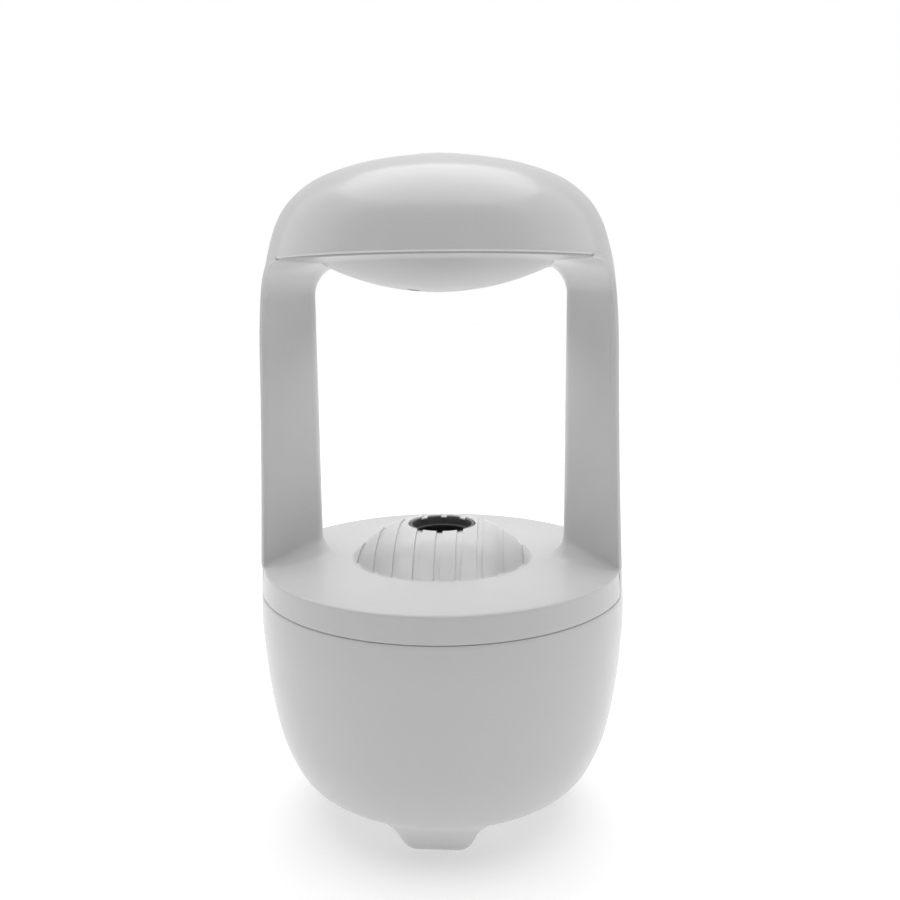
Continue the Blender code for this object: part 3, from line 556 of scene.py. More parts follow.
def smooth_curve(points, spacing):
    """Points about a spacing apart on the Catmull-Rom curve through some points."""
    ends = [2 * points[0] - points[1], *points, 2 * points[-1] - points[-2]]
    path = []
    for a, b, c, d in zip(ends, ends[1:], ends[2:], ends[3:]):
        steps = max(1, round((c - b).length / spacing))
        for i in range(steps):
            t = i / steps
            curve = (2 * a - 5 * b + 4 * c - d) * t**2 + (3 * b - a - 3 * c + d) * t**3
            path.append(0.5 * (2 * b + (c - a) * t + curve))
    path.append(points[-1])
    return path


def fine_outline():
    path = smooth_curve([Vector((r * MM, z * MM)) for r, z in CASING_OUTLINE], 0.5 * MM)
    return [Vector((min(point.x, WIDEST), point.y)) for point in path]


OUTLINE = fine_outline()


def casing_radius(height):
    """The casing's outer radius at a height."""
    for upper, lower in zip(OUTLINE, OUTLINE[1:]):
        if lower.y <= height <= upper.y:
            return lower.x + (upper.x - lower.x) * (height - lower.y) / (upper.y - lower.y)
    return OUTLINE[0].x if height > OUTLINE[0].y else OUTLINE[-1].x


def bowl_height(radius):
    """The height of the bowl's underside at a radius."""
    low = [point for point in OUTLINE if point.y < 70 * MM]
    for outer, inner in zip(low, low[1:]):
        if inner.x <= radius <= outer.x:
            return inner.y + (outer.y - inner.y) * (radius - inner.x) / (outer.x - inner.x)
    return low[-1].y


def on_circle(radius, degrees):
    angle = math.radians(degrees)
    return radius * math.cos(angle), radius * math.sin(angle)


def placed(name, data):
    """A new object in the scene."""
    obj = bpy.data.objects.new(name, data)
    bpy.context.scene.collection.objects.link(obj)
    return obj


def shade(mesh):
    """Smooth shading that keeps the sharp edges."""
    mesh.shade_smooth()
    mesh.set_sharp_from_angle(angle=SHARP_ANGLE)


def add_piece(name, shape, finishes, body=None, stands_for=()):
    """Turns a mesh under construction into a smooth-shaded piece with its finishes."""
    mesh = bpy.data.meshes.new(name)
    shape.to_mesh(mesh)
    shape.free()
    obj = placed(name, mesh)
    for finish in finishes:
        mesh.materials.append(finish_named(finish))
    shade(mesh)
    if body:
        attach(obj, body)
    if stands_for:
        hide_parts(*stands_for)
    return obj


def add_grid(shape, rows, flip=False, closed=False):
    """Quads between rows of points. Neighbouring rows may differ in length: the shorter one rules."""
    grid = [[shape.verts.new(point) for point in row] for row in rows]
    for upper, lower in zip(grid, grid[1:]):
        count = min(len(upper), len(lower))
        last = count if closed else count - 1
        for i in range(last):
            k = (i + 1) % count
            quad = (upper[i], lower[i], lower[k], upper[k])
            shape.faces.new(quad[::-1] if flip else quad)
    return grid


def weld(shape, distance=0.002 * MM):
    bmesh.ops.remove_doubles(shape, verts=shape.verts, dist=distance)


def turn(shape, outline, steps=96, centre=(0.0, 0.0), along_y=None):
    """Turns an outline of (radius, height) in metres round Z, or round a line along Y at height along_y."""
    rows = []
    for radius, height in outline:
        row = []
        for i in range(steps):
            angle = 2 * math.pi * i / steps
            across, up = radius * math.cos(angle), radius * math.sin(angle)
            if along_y is None:
                row.append((centre[0] + across, centre[1] + up, height))
            else:
                row.append((centre[0] + across, height, along_y + up))
        rows.append(row)
    add_grid(shape, rows, flip=along_y is None, closed=True)
    weld(shape)


def close_shell(shape, wall_at, roll_at, steps=4):
    """Gives an open sheet its wall. Every free edge turns round a small radius and runs inwards."""
    shape.normal_update()
    sheet = list(shape.verts)
    faces = list(shape.faces)
    edges = [edge for edge in shape.edges if edge.is_boundary]
    normals = {vert: vert.normal.copy() for vert in sheet}
    away = {}
    sides = []
    for edge in edges:
        loop = edge.link_loops[0]
        start, end = loop.vert, loop.link_loop_next.vert
        sides.append((start, end))
        out = (end.co - start.co).normalized().cross(loop.face.normal)
        for vert in (start, end):
            away[vert] = away.get(vert, Vector()) + out
    last = {vert: vert for vert in away}
    for step in range(1, steps + 2):
        angle = math.pi / 2 * min(step / steps, 1.0)
        row = {}
        for vert, out in away.items():
            radius = roll_at(vert.co)
            depth = radius * (1 - math.cos(angle)) if step <= steps else wall_at(vert.co)
            reach = out.normalized() * radius * math.sin(angle)
            row[vert] = shape.verts.new(vert.co + reach - normals[vert] * depth)
        for start, end in sides:
            shape.faces.new((last[end], last[start], row[start], row[end]))
        last = row
    inner = {vert: shape.verts.new(vert.co - normals[vert] * wall_at(vert.co)) for vert in sheet}
    for face in faces:
        shape.faces.new([inner[vert] for vert in reversed(face.verts)])
    for start, end in sides:
        shape.faces.new((last[end], last[start], inner[start], inner[end]))


def cutter(name, shape):
    mesh = bpy.data.meshes.new(name)
    bmesh.ops.recalc_face_normals(shape, faces=shape.faces)
    shape.to_mesh(mesh)
    shape.free()
    return placed(name, mesh)


def rod(name, radius, low, high, centre, along_y=None, steps=48):
    shape = bmesh.new()
    turn(shape, [(0.0, low), (radius, low), (radius, high), (0.0, high)], steps, centre, along_y)
    return cutter(name, shape)


def block(name, low, high):
    shape = bmesh.new()
    bmesh.ops.create_cube(shape, size=1.0)
    size = Vector(high) - Vector(low)
    bmesh.ops.scale(shape, vec=size, verts=shape.verts)
    bmesh.ops.translate(shape, vec=(Vector(high) + Vector(low)) / 2, verts=shape.verts)
    return cutter(name, shape)


def cut_away(obj, cutters):
    """Cuts solids out of a piece, and removes them."""
    for other in cutters:
        modifier = obj.modifiers.new("cut", "BOOLEAN")
        modifier.operation = "DIFFERENCE"
        modifier.object = other
    bpy.context.view_layer.update()
    graph = bpy.context.evaluated_depsgraph_get()
    mesh = bpy.data.meshes.new_from_object(obj.evaluated_get(graph))
    obj.modifiers.clear()
    obj.data = mesh
    shade(mesh)
    for other in cutters:
        bpy.data.objects.remove(other, do_unlink=True)


def merge_into(obj, shape):
    """Adds a mesh under construction to a piece's own mesh."""
    shape.from_mesh(obj.data)
    shape.to_mesh(obj.data)
    shape.free()
    shade(obj.data)


# ---------------------------------------------------------------- casing


def strip_edge(height, casing):
    """A side strip's half width at a height, where its outer surface ends and its edge starts to turn."""
    roll = casing.cut_roll
    low_centre = casing.cut_bottom + casing.bottom_corner
    high_centre = casing.cut_top - casing.top_corner
    if height < low_centre:
        radius, far = casing.bottom_corner + roll, low_centre - height
        return casing.cut_y + casing.bottom_corner - math.sqrt(max(radius**2 - far**2, 0.0))
    if height > high_centre:
        radius, far = casing.top_corner + roll, height - high_centre
        return casing.cut_y + casing.top_corner - math.sqrt(max(radius**2 - far**2, 0.0))
    return casing.cut_y - roll


def thinned(points, spacing):
    """Every point that is at least a spacing from the last one kept, and both ends."""
    kept = [points[0]]
    for point in points[1:-1]:
        if (point - kept[-1]).length >= spacing:
            kept.append(point)
    return [*kept, points[-1]]


def casing_levels(casing):
    """Rows of the casing from top to bottom, as (radius, height, strip half width, goes all round)."""
    roll, seam = casing.cut_roll, casing.seam_roll
    high, low = casing.cut_top + roll, casing.cut_bottom - roll
    dome_end = Vector((casing_radius(high), high))
    bowl_start = Vector((casing_radius(low), low))
    dome = [p for p in OUTLINE if p.y > high + 0.2 * MM and p.x > OUTLINE[0].x + seam]
    bowl = [p for p in OUTLINE if p.y < low - 0.2 * MM and p.x > OUTLINE[-1].x + seam]
    dome_share = casing.cut_y + casing.top_corner
    bowl_share = casing.cut_y + casing.bottom_corner
    levels = [(p, dome_share / dome_end.x, True) for p in thinned([*dome, dome_end], 1.0 * MM)]
    heights = []
    for i in range(11, 0, -1):
        angle = math.pi / 2 * i / 12
        heights.append(casing.cut_top - casing.top_corner + (casing.top_corner + roll) * math.sin(angle))
    straight_top = casing.cut_top - casing.top_corner
    straight_bottom = casing.cut_bottom + casing.bottom_corner
    heights += [straight_top + (straight_bottom - straight_top) * i / 28 for i in range(29)]
    for i in range(1, 8):
        angle = math.pi / 2 * i / 8
        heights.append(straight_bottom - (casing.bottom_corner + roll) * math.sin(angle))
    for height in heights:
        radius = casing_radius(height)
        levels.append((Vector((radius, height)), strip_edge(height, casing) / radius, False))
    levels += [(p, bowl_share / bowl_start.x, True) for p in thinned([bowl_start, *bowl], 1.2 * MM)]
    return levels


def casing_quarter(shape, casing, side_x, side_y):
    """A quarter of the casing's outer surface."""
    near, far = 14, 42
    rows = []
    for point, share, all_round in casing_levels(casing):
        start = math.asin((SEAM_GAP + casing.seam_roll) / point.x)
        edge = math.asin(share)
        angles = [start + (edge - start) * i / near for i in range(near + 1)]
        if all_round:
            angles += [edge + (math.pi / 2 - edge) * i / far for i in range(1, far + 1)]
        rows.append(
            [
                (side_x * point.x * math.cos(a), side_y * point.x * math.sin(a), point.y)
                for a in angles
            ]
        )
    add_grid(shape, rows, flip=side_x * side_y < 0)


def on_foot(out, across, height, turned):
    """A place by its reach from the axis and across a foot, turned to that foot."""
    x = out * math.cos(turned) - across * math.sin(turned)
    y = out * math.sin(turned) + across * math.cos(turned)
    return Vector((x, y, height))


def flare_end(start, heading):
    """Where a foot's flare meets the bowl: far out in front, close in where the bottom cover is near."""
    span = 6.5 * MM + 2.2 * MM * max(0.0, heading.dot(start.xy.normalized())) ** 2
    while span > 0.4 * MM and (start.xy + heading * span).length < 23.9 * MM:
        span -= 0.1 * MM

    def bowl(distance):
        place = start.xy + heading * distance
        return Vector((place.x, place.y, bowl_height(place.length) + 0.03 * MM))

    step = 0.4 * MM
    return bowl(span), (bowl(span) - bowl(span - step)).normalized(), span


def foot_shape(side):
    """A foot with round corners that leans out and flares softly into the bowl, with a pad's recess."""
    shape = bmesh.new()
    turned = math.radians(FEET[side])
    rings = []
    headings = []
    for height, near, far, half, corner in FOOT_RINGS:
        ring = []
        for number, (out, side_way) in enumerate(((1, 1), (-1, 1), (-1, -1), (1, -1))):
            middle = (far - corner if out > 0 else near + corner, side_way * (half - corner))
            for i in range(15):
                angle = math.radians(90.0 * number + 90.0 * i / 14)
                place = (middle[0] + corner * math.cos(angle), middle[1] + corner * math.sin(angle))
                ring.append(on_foot(place[0] * MM, place[1] * MM, height * MM, turned))
                if not rings:
                    headings.append(on_foot(math.cos(angle), math.sin(angle), 0.0, turned).xy)
        rings.append(ring)
    flares = []
    for before, start, heading in zip(rings[-2], rings[-1], headings):
        end, arriving, span = flare_end(start, heading)
        leaving = (start - before).normalized()
        reach = (end - start).length / 3
        first = start + leaving * reach
        second = end - arriving * min(reach, span * 0.8)
        flare = []
        for i in range(1, 13):
            t = i / 12
            u = 1 - t
            flare.append(start * u**3 + first * 3 * u * u * t + second * 3 * u * t * t + end * t**3)
        flares.append(flare)
    rings += [list(ring) for ring in zip(*flares)]
    add_grid(shape, rings, flip=True, closed=True)

    centre = on_foot(FEET_CIRCLE, 0.0, 0.0, turned)
    sole = [rings[0]]
    for radius, height in ((5.6, 0.5), (5.3, 0.8), (5.3, 2.5), (0.0, 2.5)):
        ring = []
        for place in rings[0]:
            way = (place.xy - centre.xy).normalized() * radius * MM
            ring.append(Vector((centre.x + way.x, centre.y + way.y, height * MM)))
        sole.append(ring)
    add_grid(shape, sole, closed=True)
    weld(shape)
    return shape


def screw_tower(x, z, start):
    """The tube that leads a casing screw in from behind."""
    shape = bmesh.new()
    rows = []
    for radius in (SCREW_BORE, SCREW_BORE + 1.0 * MM):
        ends = []
        for at_surface in (False, True):
            row = []
            for i in range(32):
                angle = 2 * math.pi * i / 32
                px, pz = x + radius * math.cos(angle), z + radius * math.sin(angle)
                depth = start
                if at_surface:
                    depth = math.sqrt(casing_radius(pz) ** 2 - px**2) - 0.9 * MM
                row.append((px, depth, pz))
            ends.append(row)
        rows.append(ends)
    (inner_start, inner_end), (outer_start, outer_end) = rows
    add_grid(shape, [inner_end, inner_start, outer_start, outer_end, inner_end], closed=True)
    weld(shape)
    return shape


class HUMIDIFIER_OT_casings(bpy.types.Operator):
    """Builds the front and rear halves of the outer casing, with their feet"""

    bl_idname = "humidifier.casings"
    bl_label = "Casing Halves"

    def execute(self, context):
        casing = context.scene.humidifier_casing
        low, high = casing.cut_bottom - 3 * MM, casing.cut_top + 3 * MM

        def roll_at(place):
            on_window = low < place.z < high and abs(place.y) > 2 * MM
            return casing.cut_roll if on_window else casing.seam_roll

        for name, side_y, feet in (
            ("front_casing", -1, ("front",)),
            ("rear_casing", 1, ("left", "right")),
        ):
            shape = bmesh.new()
            for side_x in (1, -1):
                casing_quarter(shape, casing, side_x, side_y)
            weld(shape)
            close_shell(shape, lambda place: casing.wall, roll_at, steps=5)
            shell = add_piece(
                f"{name}_shell", shape, ["shell_white"], HOUSING, (name,)
            )
            if side_y > 0:
                self.open_rear(shell)
            for side in feet:
                merge_into(shell, foot_shape(side))
        return {"FINISHED"}

    @staticmethod
    def open_rear(shell):
        """Holes for the buttons, the power socket and the screws."""
        far = 80 * MM
        cutters = [
            rod(f"button_hole_{i}", 4.0 * MM, 55 * MM, far, (x, 0.0), BUTTON_HEIGHT)
            for i, x in enumerate(BUTTONS.values())
        ]
        for i, (x, z) in enumerate(CASING_SCREWS):
            cutters.append(rod(f"bore_{i}", SCREW_BORE, 14 * MM, far, (x * MM, 0.0), z * MM))
        half_x, half_z, z = 4.9 * MM, 2.05 * MM, SOCKET_HEIGHT
        left, right = half_z - half_x, half_x - half_z
        cutters.append(block("slot_middle", (left, 55 * MM, z - half_z), (right, far, z + half_z)))
        for i, x in enumerate((left, right)):
            cutters.append(rod(f"slot_end_{i}", half_z, 55 * MM, far, (x, 0.0), z))
        cut_away(shell, cutters)
        for x, z in CASING_SCREWS:
            merge_into(shell, screw_tower(x * MM, z * MM, 9 * MM))


# ---------------------------------------------------------------- inner frame


def mound_height(radius, sizes):
    if radius >= sizes.mound_radius:
        return 0.0
    return sizes.mound_rise * math.cos(math.pi / 2 * (radius / sizes.mound_radius) ** 1.85)


def deck_profile(sizes):
    """Radius and height from the collar's bottom over the hole's edge and the mound to the flat deck."""
    top = sizes.deck_top
    hole = sizes.hole_radius
    edge = 0.55 * MM
    rows = [(hole, 87.8 * MM), (hole, 94 * MM), (hole, 100 * MM), (hole, 104 * MM)]
    start = top + mound_height(hole + edge, sizes)
    for i in range(6):
        angle = math.pi / 2 * i / 5
        rows.append((hole + edge * (1 - math.cos(angle)), start - edge + edge * math.sin(angle)))
    radius = hole + edge + 0.5 * MM
    while radius < sizes.mound_radius + 1 * MM:
        rows.append((radius, top + mound_height(radius, sizes)))
        radius += 0.6 * MM
    radius = sizes.mound_radius + 1.5 * MM
    while radius < 62.0 * MM:
        rows.append((radius, top))
        radius += 2.4 * MM
    return [*rows, (62.6 * MM, top)]


def rim_bottom(y, casing, sizes, roll):
    """Where the deck's rim ends over the bowl's edge, round at the corner by a side strip."""
    low = casing.cut_bottom + sizes.gap + roll
    radius = casing.bottom_corner - sizes.gap - roll
    far = casing.cut_y + casing.bottom_corner - abs(y)
    if far <= 0.0:
        return low
    centre = casing.cut_bottom + casing.bottom_corner
    return centre - math.sqrt(max(radius**2 - min(far, radius) ** 2, 0.0))


def deck_shape(casing, sizes):
    """The deck with its mound all round, and its outer band with the rim between the side strips."""
    shape = bmesh.new()
    profile = deck_profile(sizes)
    roll = 0.4 * MM
    seam = casing.cut_y + sizes.gap + roll
    inner = profile[-1][0]
    corner = [0.0, 0.25, 0.6, 1.0, 1.5, 2.1, 2.7, 3.6]
    starts = [math.asin((seam + c * MM) / inner) for c in corner]
    fractions = [(a - starts[0]) / (math.pi / 2 - starts[0]) for a in starts]
    fractions += [fractions[-1] + (1 - fractions[-1]) * i / 44 for i in range(1, 45)]
    quarter = [starts[0] + (math.pi / 2 - starts[0]) * f for f in fractions]
    between = [starts[0] * i / 12 for i in range(12)]
    right_front = [*between, *quarter]
    half = [*right_front, *[math.pi - a for a in reversed(right_front)][1:]]
    angles = [*half, *[math.pi + a for a in half[1:-1]]]
    rows = [[(r * math.cos(a), -r * math.sin(a), z) for a in angles] for r, z in profile]
    add_grid(shape, rows, flip=True, closed=True)

    edge, top, outer = sizes.deck_edge, sizes.deck_top, sizes.deck_radius
    band = [(inner, top), (63.3 * MM, top), (outer - edge, top)]
    for i in range(1, 7):
        angle = math.pi / 2 * i / 6
        band.append((outer - edge * (1 - math.sin(angle)), top - edge * (1 - math.cos(angle))))
    for side_x in (1, -1):
        for side_y in (-1, 1):
            rows = []
            for radius, height in band:
                first = math.asin(seam / radius)
                turned = [first + (math.pi / 2 - first) * f for f in fractions]
                rows.append([(radius, a, height) for a in turned])
            low_radius = casing_radius(casing.cut_bottom) - 0.15 * MM
            for i in range(1, 8):
                row = []
                for f in fractions:
                    share = i / 7
                    radius = outer + (low_radius - outer) * share
                    first = math.asin(seam / radius)
                    angle = first + (math.pi / 2 - first) * f
                    bottom = rim_bottom(radius * math.sin(angle), casing, sizes, roll)
                    row.append((radius, angle, top - edge + (bottom - top + edge) * share))
                rows.append(row)
            points = [
                [(side_x * r * math.cos(a), side_y * r * math.sin(a), z) for r, a, z in row]
                for row in rows
            ]
            add_grid(shape, points, flip=side_x * side_y < 0)
    weld(shape)
    return shape


def deck_wall(place, sizes):
    """The frame's wall, thinner inside its tightly rounded edges."""
    radius = math.hypot(place.x, place.y)
    if abs(radius - sizes.hole_radius) < 0.6 * MM and place.z > 103 * MM:
        return 0.45 * MM
    if radius > sizes.deck_radius - 1.05 * sizes.deck_edge and place.z > 93 * MM:
        return 0.7 * MM
    if radius > sizes.ceiling_radius - 0.45 * MM and place.z > 190 * MM:
        return 0.35 * MM
    return sizes.wall


def groove_cutter(number, x, sizes):
    """The solid that cuts one groove: its underside follows the mound, a groove's depth below it."""
    shape = bmesh.new()
    half = sizes.groove_width / 2
    across, along = 4, 90
    lift = 0.03 * MM
    reach = sizes.mound_radius + 2 * MM
    columns = [x - half + 2 * half * i / across for i in range(across + 1)]
    rows = []
    for k in range(along + 1):
        y = -reach + 2 * reach * k / along
        row = []
        for px in columns:
            rise = mound_height(math.hypot(px, y), sizes) - sizes.groove_depth
            row.append((px, y, sizes.deck_top + lift + max(0.0, rise)))
        ceiling = sizes.deck_top + sizes.mound_rise + 4 * MM
        rows.append([*row, (columns[-1], y, ceiling), (columns[0], y, ceiling)])
    grid = add_grid(shape, rows, closed=True)
    shape.faces.new(grid[0])
    shape.faces.new(grid[-1])
    return cutter(f"groove_{number}", shape)


def upright_columns(casing, sizes):
    """The upright's plan from its nose to its front seam: (place on the nose, normal, share of the face)."""
    centre = Vector((sizes.nose_x + sizes.nose_radius, 0.0))
    radius = casing_radius((sizes.deck_top + sizes.ceiling) / 2) - UPRIGHT_INSET
    seam_y = casing.cut_y + sizes.gap + UPRIGHT_EDGE
    to_seam = Vector((math.sqrt(radius**2 - seam_y**2), -seam_y)) - centre
    turn_to = math.atan2(to_seam.y, to_seam.x) - math.acos(sizes.nose_radius / to_seam.length)
    columns = []
    steps = 12
    for i in range(steps + 1):
        angle = -math.pi + (turn_to + math.pi) * i / steps
        normal = Vector((math.cos(angle), math.sin(angle)))
        columns.append((centre + sizes.nose_radius * normal, normal, 0.0))
    start, normal, _ = columns[-1]
    columns += [(start, normal, i / 14) for i in range(1, 15)]
    return columns


def upright_rows(start, normal, share, casing, sizes):
    """One column's points from deck to ceiling, filleted into both."""
    sink = 0.02 * MM
    bottom, top = sizes.deck_top - sink, sizes.ceiling + sink
    nose_foot, seam_foot, nose_top = 8 * MM, 1.2 * MM, 11 * MM
    foot = nose_foot + (seam_foot - nose_foot) * share
    corner = nose_top + (casing.top_corner - nose_top) * share
    seam_y = casing.cut_y + sizes.gap + UPRIGHT_EDGE
    rows = []

    def add(height, foot_reach, lean):
        y = seam_y + casing.top_corner * lean
        radius = casing_radius(height) - UPRIGHT_INSET
        seam = Vector((math.sqrt(radius**2 - y**2), -y))
        inner = start + normal * (foot_reach + nose_top * lean)
        place = inner + (seam - inner) * share + normal * foot_reach * share
        rows.append(Vector((place.x, place.y, height)))

    for i in range(13):
        angle = math.pi / 2 * i / 12
        add(bottom + foot * (1 - math.cos(angle)), foot * (1 - math.sin(angle)), 0.0)
    low, high = bottom + foot, top - corner
    for i in range(1, 24):
        add(low + (high - low) * i / 24, 0.0, 0.0)
    for i in range(17):
        angle = math.pi / 2 * i / 16
        add(high + corner * math.sin(angle), 0.0, 1 - math.cos(angle))
    return rows


def upright_shape(side, casing, sizes):
    shape = bmesh.new()
    half = [upright_rows(*column, casing, sizes) for column in upright_columns(casing, sizes)]
    back = [[Vector((p.x, -p.y, p.z)) for p in rows] for rows in reversed(half[1:])]
    columns = [[(side * p.x, p.y, p.z) for p in rows] for rows in back + half]
    add_grid(shape, columns, flip=side < 0)
    return shape


def ceiling_shape(sizes):
    """The ceiling with its hanging bulge, a soft crease between them, and the flange's round edge."""
    shape = bmesh.new()
    drop = sizes.ceiling - sizes.bulge_lowest
    sphere = (sizes.bulge_radius**2 + drop**2) / (2 * drop)
    rows = []
    for i in range(41):
        radius = sizes.bulge_radius * i / 40
        rows.append((radius, sizes.bulge_lowest + sphere - math.sqrt(sphere**2 - radius**2)))
    edge = 0.4 * MM
    flange = sizes.ceiling_radius - edge
    rows += [(sizes.bulge_radius + (flange - sizes.bulge_radius) * i / 8, sizes.ceiling) for i in range(1, 9)]
    for i in range(1, 6):
        angle = math.pi / 2 * i / 5
        rows.append((flange + edge * math.sin(angle), sizes.ceiling + edge * (1 - math.cos(angle))))
    rows.append((sizes.ceiling_radius, sizes.ceiling + 2.0 * MM))
    turn(shape, rows, steps=144)
    bmesh.ops.recalc_face_normals(shape, faces=shape.faces)
    lowest = min(shape.faces, key=lambda face: face.calc_center_median().z)
    shape.normal_update()
    if lowest.normal.z > 0:
        bmesh.ops.reverse_faces(shape, faces=shape.faces)
    return shape


class HUMIDIFIER_OT_inner_frame(bpy.types.Operator):
    """Builds the inner frame: grooved deck, rim, both uprights and the ceiling with its bulge"""

    bl_idname = "humidifier.inner_frame"
    bl_label = "Inner Frame"

    def execute(self, context):
        casing = context.scene.humidifier_casing
        sizes = context.scene.humidifier_frame
        deck = deck_shape(casing, sizes)
        close_shell(deck, lambda place: deck_wall(place, sizes), lambda place: 0.4 * MM)
        piece = add_piece(
            "deck_and_uprights", deck, ["shell_white"], HOUSING, ("inner_frame",)
        )
        middle = (sizes.groove_count - 1) / 2
        grooves = [
            groove_cutter(i, (i - middle) * sizes.groove_pitch, sizes) for i in range(sizes.groove_count)
        ]
        cut_away(piece, grooves)
        for side in (1, -1):
            skin = upright_shape(side, casing, sizes)
            close_shell(skin, lambda place: sizes.wall, lambda place: UPRIGHT_EDGE)
            merge_into(piece, skin)

        ceiling = ceiling_shape(sizes)
        close_shell(ceiling, lambda place: deck_wall(place, sizes), lambda place: 0.1 * MM)
        # The ceiling and its bulge take the darkened white, which is painted shade under the ceiling.
        roof = add_piece(
            "ceiling_bulge", ceiling, ["bulge_painted_shade_white"], HOUSING, ("inner_frame",)
        )
        cut_away(
            roof,
            [
                rod("nozzle_hole", 2.4 * MM, 180 * MM, 210 * MM, (0.0, 0.0)),
                rod("lens_hole", 2.15 * MM, 180 * MM, 210 * MM, LENS_PLACE),
            ],
        )
        return {"FINISHED"}


# ---------------------------------------------------------------- small pieces


def fine_turned(name, outline, finishes, body, node, steps=96, centre=(0.0, 0.0), along_y=None):
    """A turned piece from an outline in millimetres that starts and ends on its axis."""
    shape = bmesh.new()
    turn(shape, [(r * MM, z * MM) for r, z in outline], steps, centre, along_y)
    bmesh.ops.recalc_face_normals(shape, faces=shape.faces)
    return add_piece(name, shape, finishes, body, (node,))


def round_corner(centre, radius, start, end, steps=5):
    """Points of an arc in millimetres, with its angles in degrees."""
    angles = [math.radians(start + (end - start) * i / steps) for i in range(steps + 1)]
    return [(centre[0] + radius * math.cos(a), centre[1] + radius * math.sin(a)) for a in angles]


class HUMIDIFIER_OT_strainer(bpy.types.Operator):
    """Builds the dark strainer cup with its notched collar and its perforated floor"""

    bl_idname = "humidifier.strainer"
    bl_label = "Strainer Cup"

    def execute(self, context):
        sizes = context.scene.humidifier_frame
        outline = [
            (0.0, 88.1),
            (11.3, 88.1),
            *round_corner((11.3, 88.7), 0.6, -90, 0, 3),
            (11.9, 96.0),
            (11.9, 105.6),
            *round_corner((11.6, 105.6), 0.3, 0, 90, 3),
            *round_corner((11.2, 105.6), 0.3, 90, 180, 3),
            (10.9, 103.2),
            *round_corner((10.5, 103.0), 0.4, 0, -90, 3),
            (9.9, 102.4),
            (9.9, 89.6),
            (9.4, 89.1),
            (0.0, 89.1),
        ]
        cup = fine_turned(
            "strainer_cup_fine", outline, ["cup_grey", "cup_inside_painted_shade"], "strainer", "strainer_cup"
        )
        holes = [
            rod(f"drain_{i}_{k}", 1.0 * MM, 80 * MM, 95 * MM, on_circle(ring * MM, 360 * k / count), steps=20)
            for i, (ring, count) in enumerate(((0.0, 1), (3.2, 6), (6.4, 12)))
            for k in range(count)
        ]
        floor = sizes.deck_top + mound_height(sizes.hole_radius, sizes) - sizes.groove_depth
        half = sizes.groove_width / 2
        for i in (-1, 0, 1):
            x = i * sizes.groove_pitch
            low, high = (x - half, -15 * MM, floor), (x + half, 15 * MM, floor + 5 * MM)
            holes.append(block(f"notch_{i}", low, high))
        cut_away(cup, holes)
        # The cup's inside faces below the collar take a near-black finish: painted shade inside the cup's
        # recess.
        for face in cup.data.polygons:
            middle = face.center
            inside = math.hypot(middle.x, middle.y) < 10.4 * MM
            face.material_index = 1 if inside and middle.z < 102.7 * MM else 0
        return {"FINISHED"}


class HUMIDIFIER_OT_cap(bpy.types.Operator):
    """Builds the mist cap that turns to aim the mist"""

    bl_idname = "humidifier.cap"
    bl_label = "Mist Cap"

    def execute(self, context):
        outline = [
            (0.0, 232.4),
            (11.3, 232.4),
            (11.3, 227.0),
            (12.9, 227.0),
            (12.9, 229.4),
            (14.1, 230.3),
            *round_corner((13.95, 230.7), 0.35, -60, 90, 5),
            (13.0, 231.2),
            (12.9, 231.5),
            (12.9, 233.0),
            *round_corner((11.4, 233.0), 1.5, 0, 82, 8),
            (9.9, 234.72),
            (9.5, 234.42),
            (9.1, 234.42),
            (8.7, 234.80),
            (6.0, 234.93),
            (0.0, 235.0),
        ]
        cap = fine_turned("mist_cap_fine", outline, ["shell_white"], "mist_cap", "mist_cap")
        cutters = [rod("outlet", 3.6 * MM, 225 * MM, 240 * MM, OUTLET_PLACE)]
        for i in range(24):
            at = on_circle(13.4 * MM, 15 * i + 7.5)
            cutters.append(rod(f"grip_{i}", 0.55 * MM, 231.6 * MM, 236 * MM, at, steps=16))
        cut_away(cap, cutters)
        lip = bmesh.new()
        profile = [(3.6, 232.6), *round_corner((3.85, 234.72), 0.25, 180, 0, 6), (4.1, 233.2)]
        turn(lip, [(r * MM, z * MM) for r, z in profile], 48, OUTLET_PLACE)
        merge_into(cap, lip)
        return {"FINISHED"}


class HUMIDIFIER_OT_buttons(bpy.types.Operator):
    """Builds the two push buttons at the back"""

    bl_idname = "humidifier.buttons"
    bl_label = "Push Buttons"

    def execute(self, context):
        for name, x in BUTTONS.items():
            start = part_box(name)[0].y / MM
            outline = [
                (0.0, start),
                (1.6, start),
                (1.6, 59.4),
                (5.2, 59.4),
                (5.2, 60.6),
                (3.7, 60.6),
                (3.7, 64.7),
                *round_corner((3.2, 64.75), 0.5, 0, 90, 5),
                (2.6, 65.22),
                (1.6, 65.02),
                (0.0, 64.95),
            ]
            fine_turned(
                f"{name}_fine",
                outline,
                ["shell_white"],
                name,
                name,
                64,
                (x, 0.0),
                BUTTON_HEIGHT,
            )
        return {"FINISHED"}


class HUMIDIFIER_OT_foot_pads(bpy.types.Operator):
    """Builds the rubber pads under the feet, with their moulded rings"""

    bl_idname = "humidifier.foot_pads"
    bl_label = "Foot Pads"

    def execute(self, context):
        outline = [
            (0.0, 2.2),
            (5.0, 2.2),
            (5.0, 0.4),
            *round_corner((4.6, 0.4), 0.4, 0, -90, 4),
            (4.2, 0.0),
            (4.0, 0.25),
            (3.5, 0.25),
            (3.3, 0.0),
            (2.4, 0.0),
            (2.2, 0.25),
            (1.7, 0.25),
            (1.5, 0.0),
            (0.0, 0.0),
        ]
        for side, angle in FEET.items():
            centre = on_circle(FEET_CIRCLE, angle)
            name = f"foot_pad_{side}"
            fine_turned(f"{name}_fine", outline, ["pad_rubber"], HOUSING, name, 64, centre)
        return {"FINISHED"}


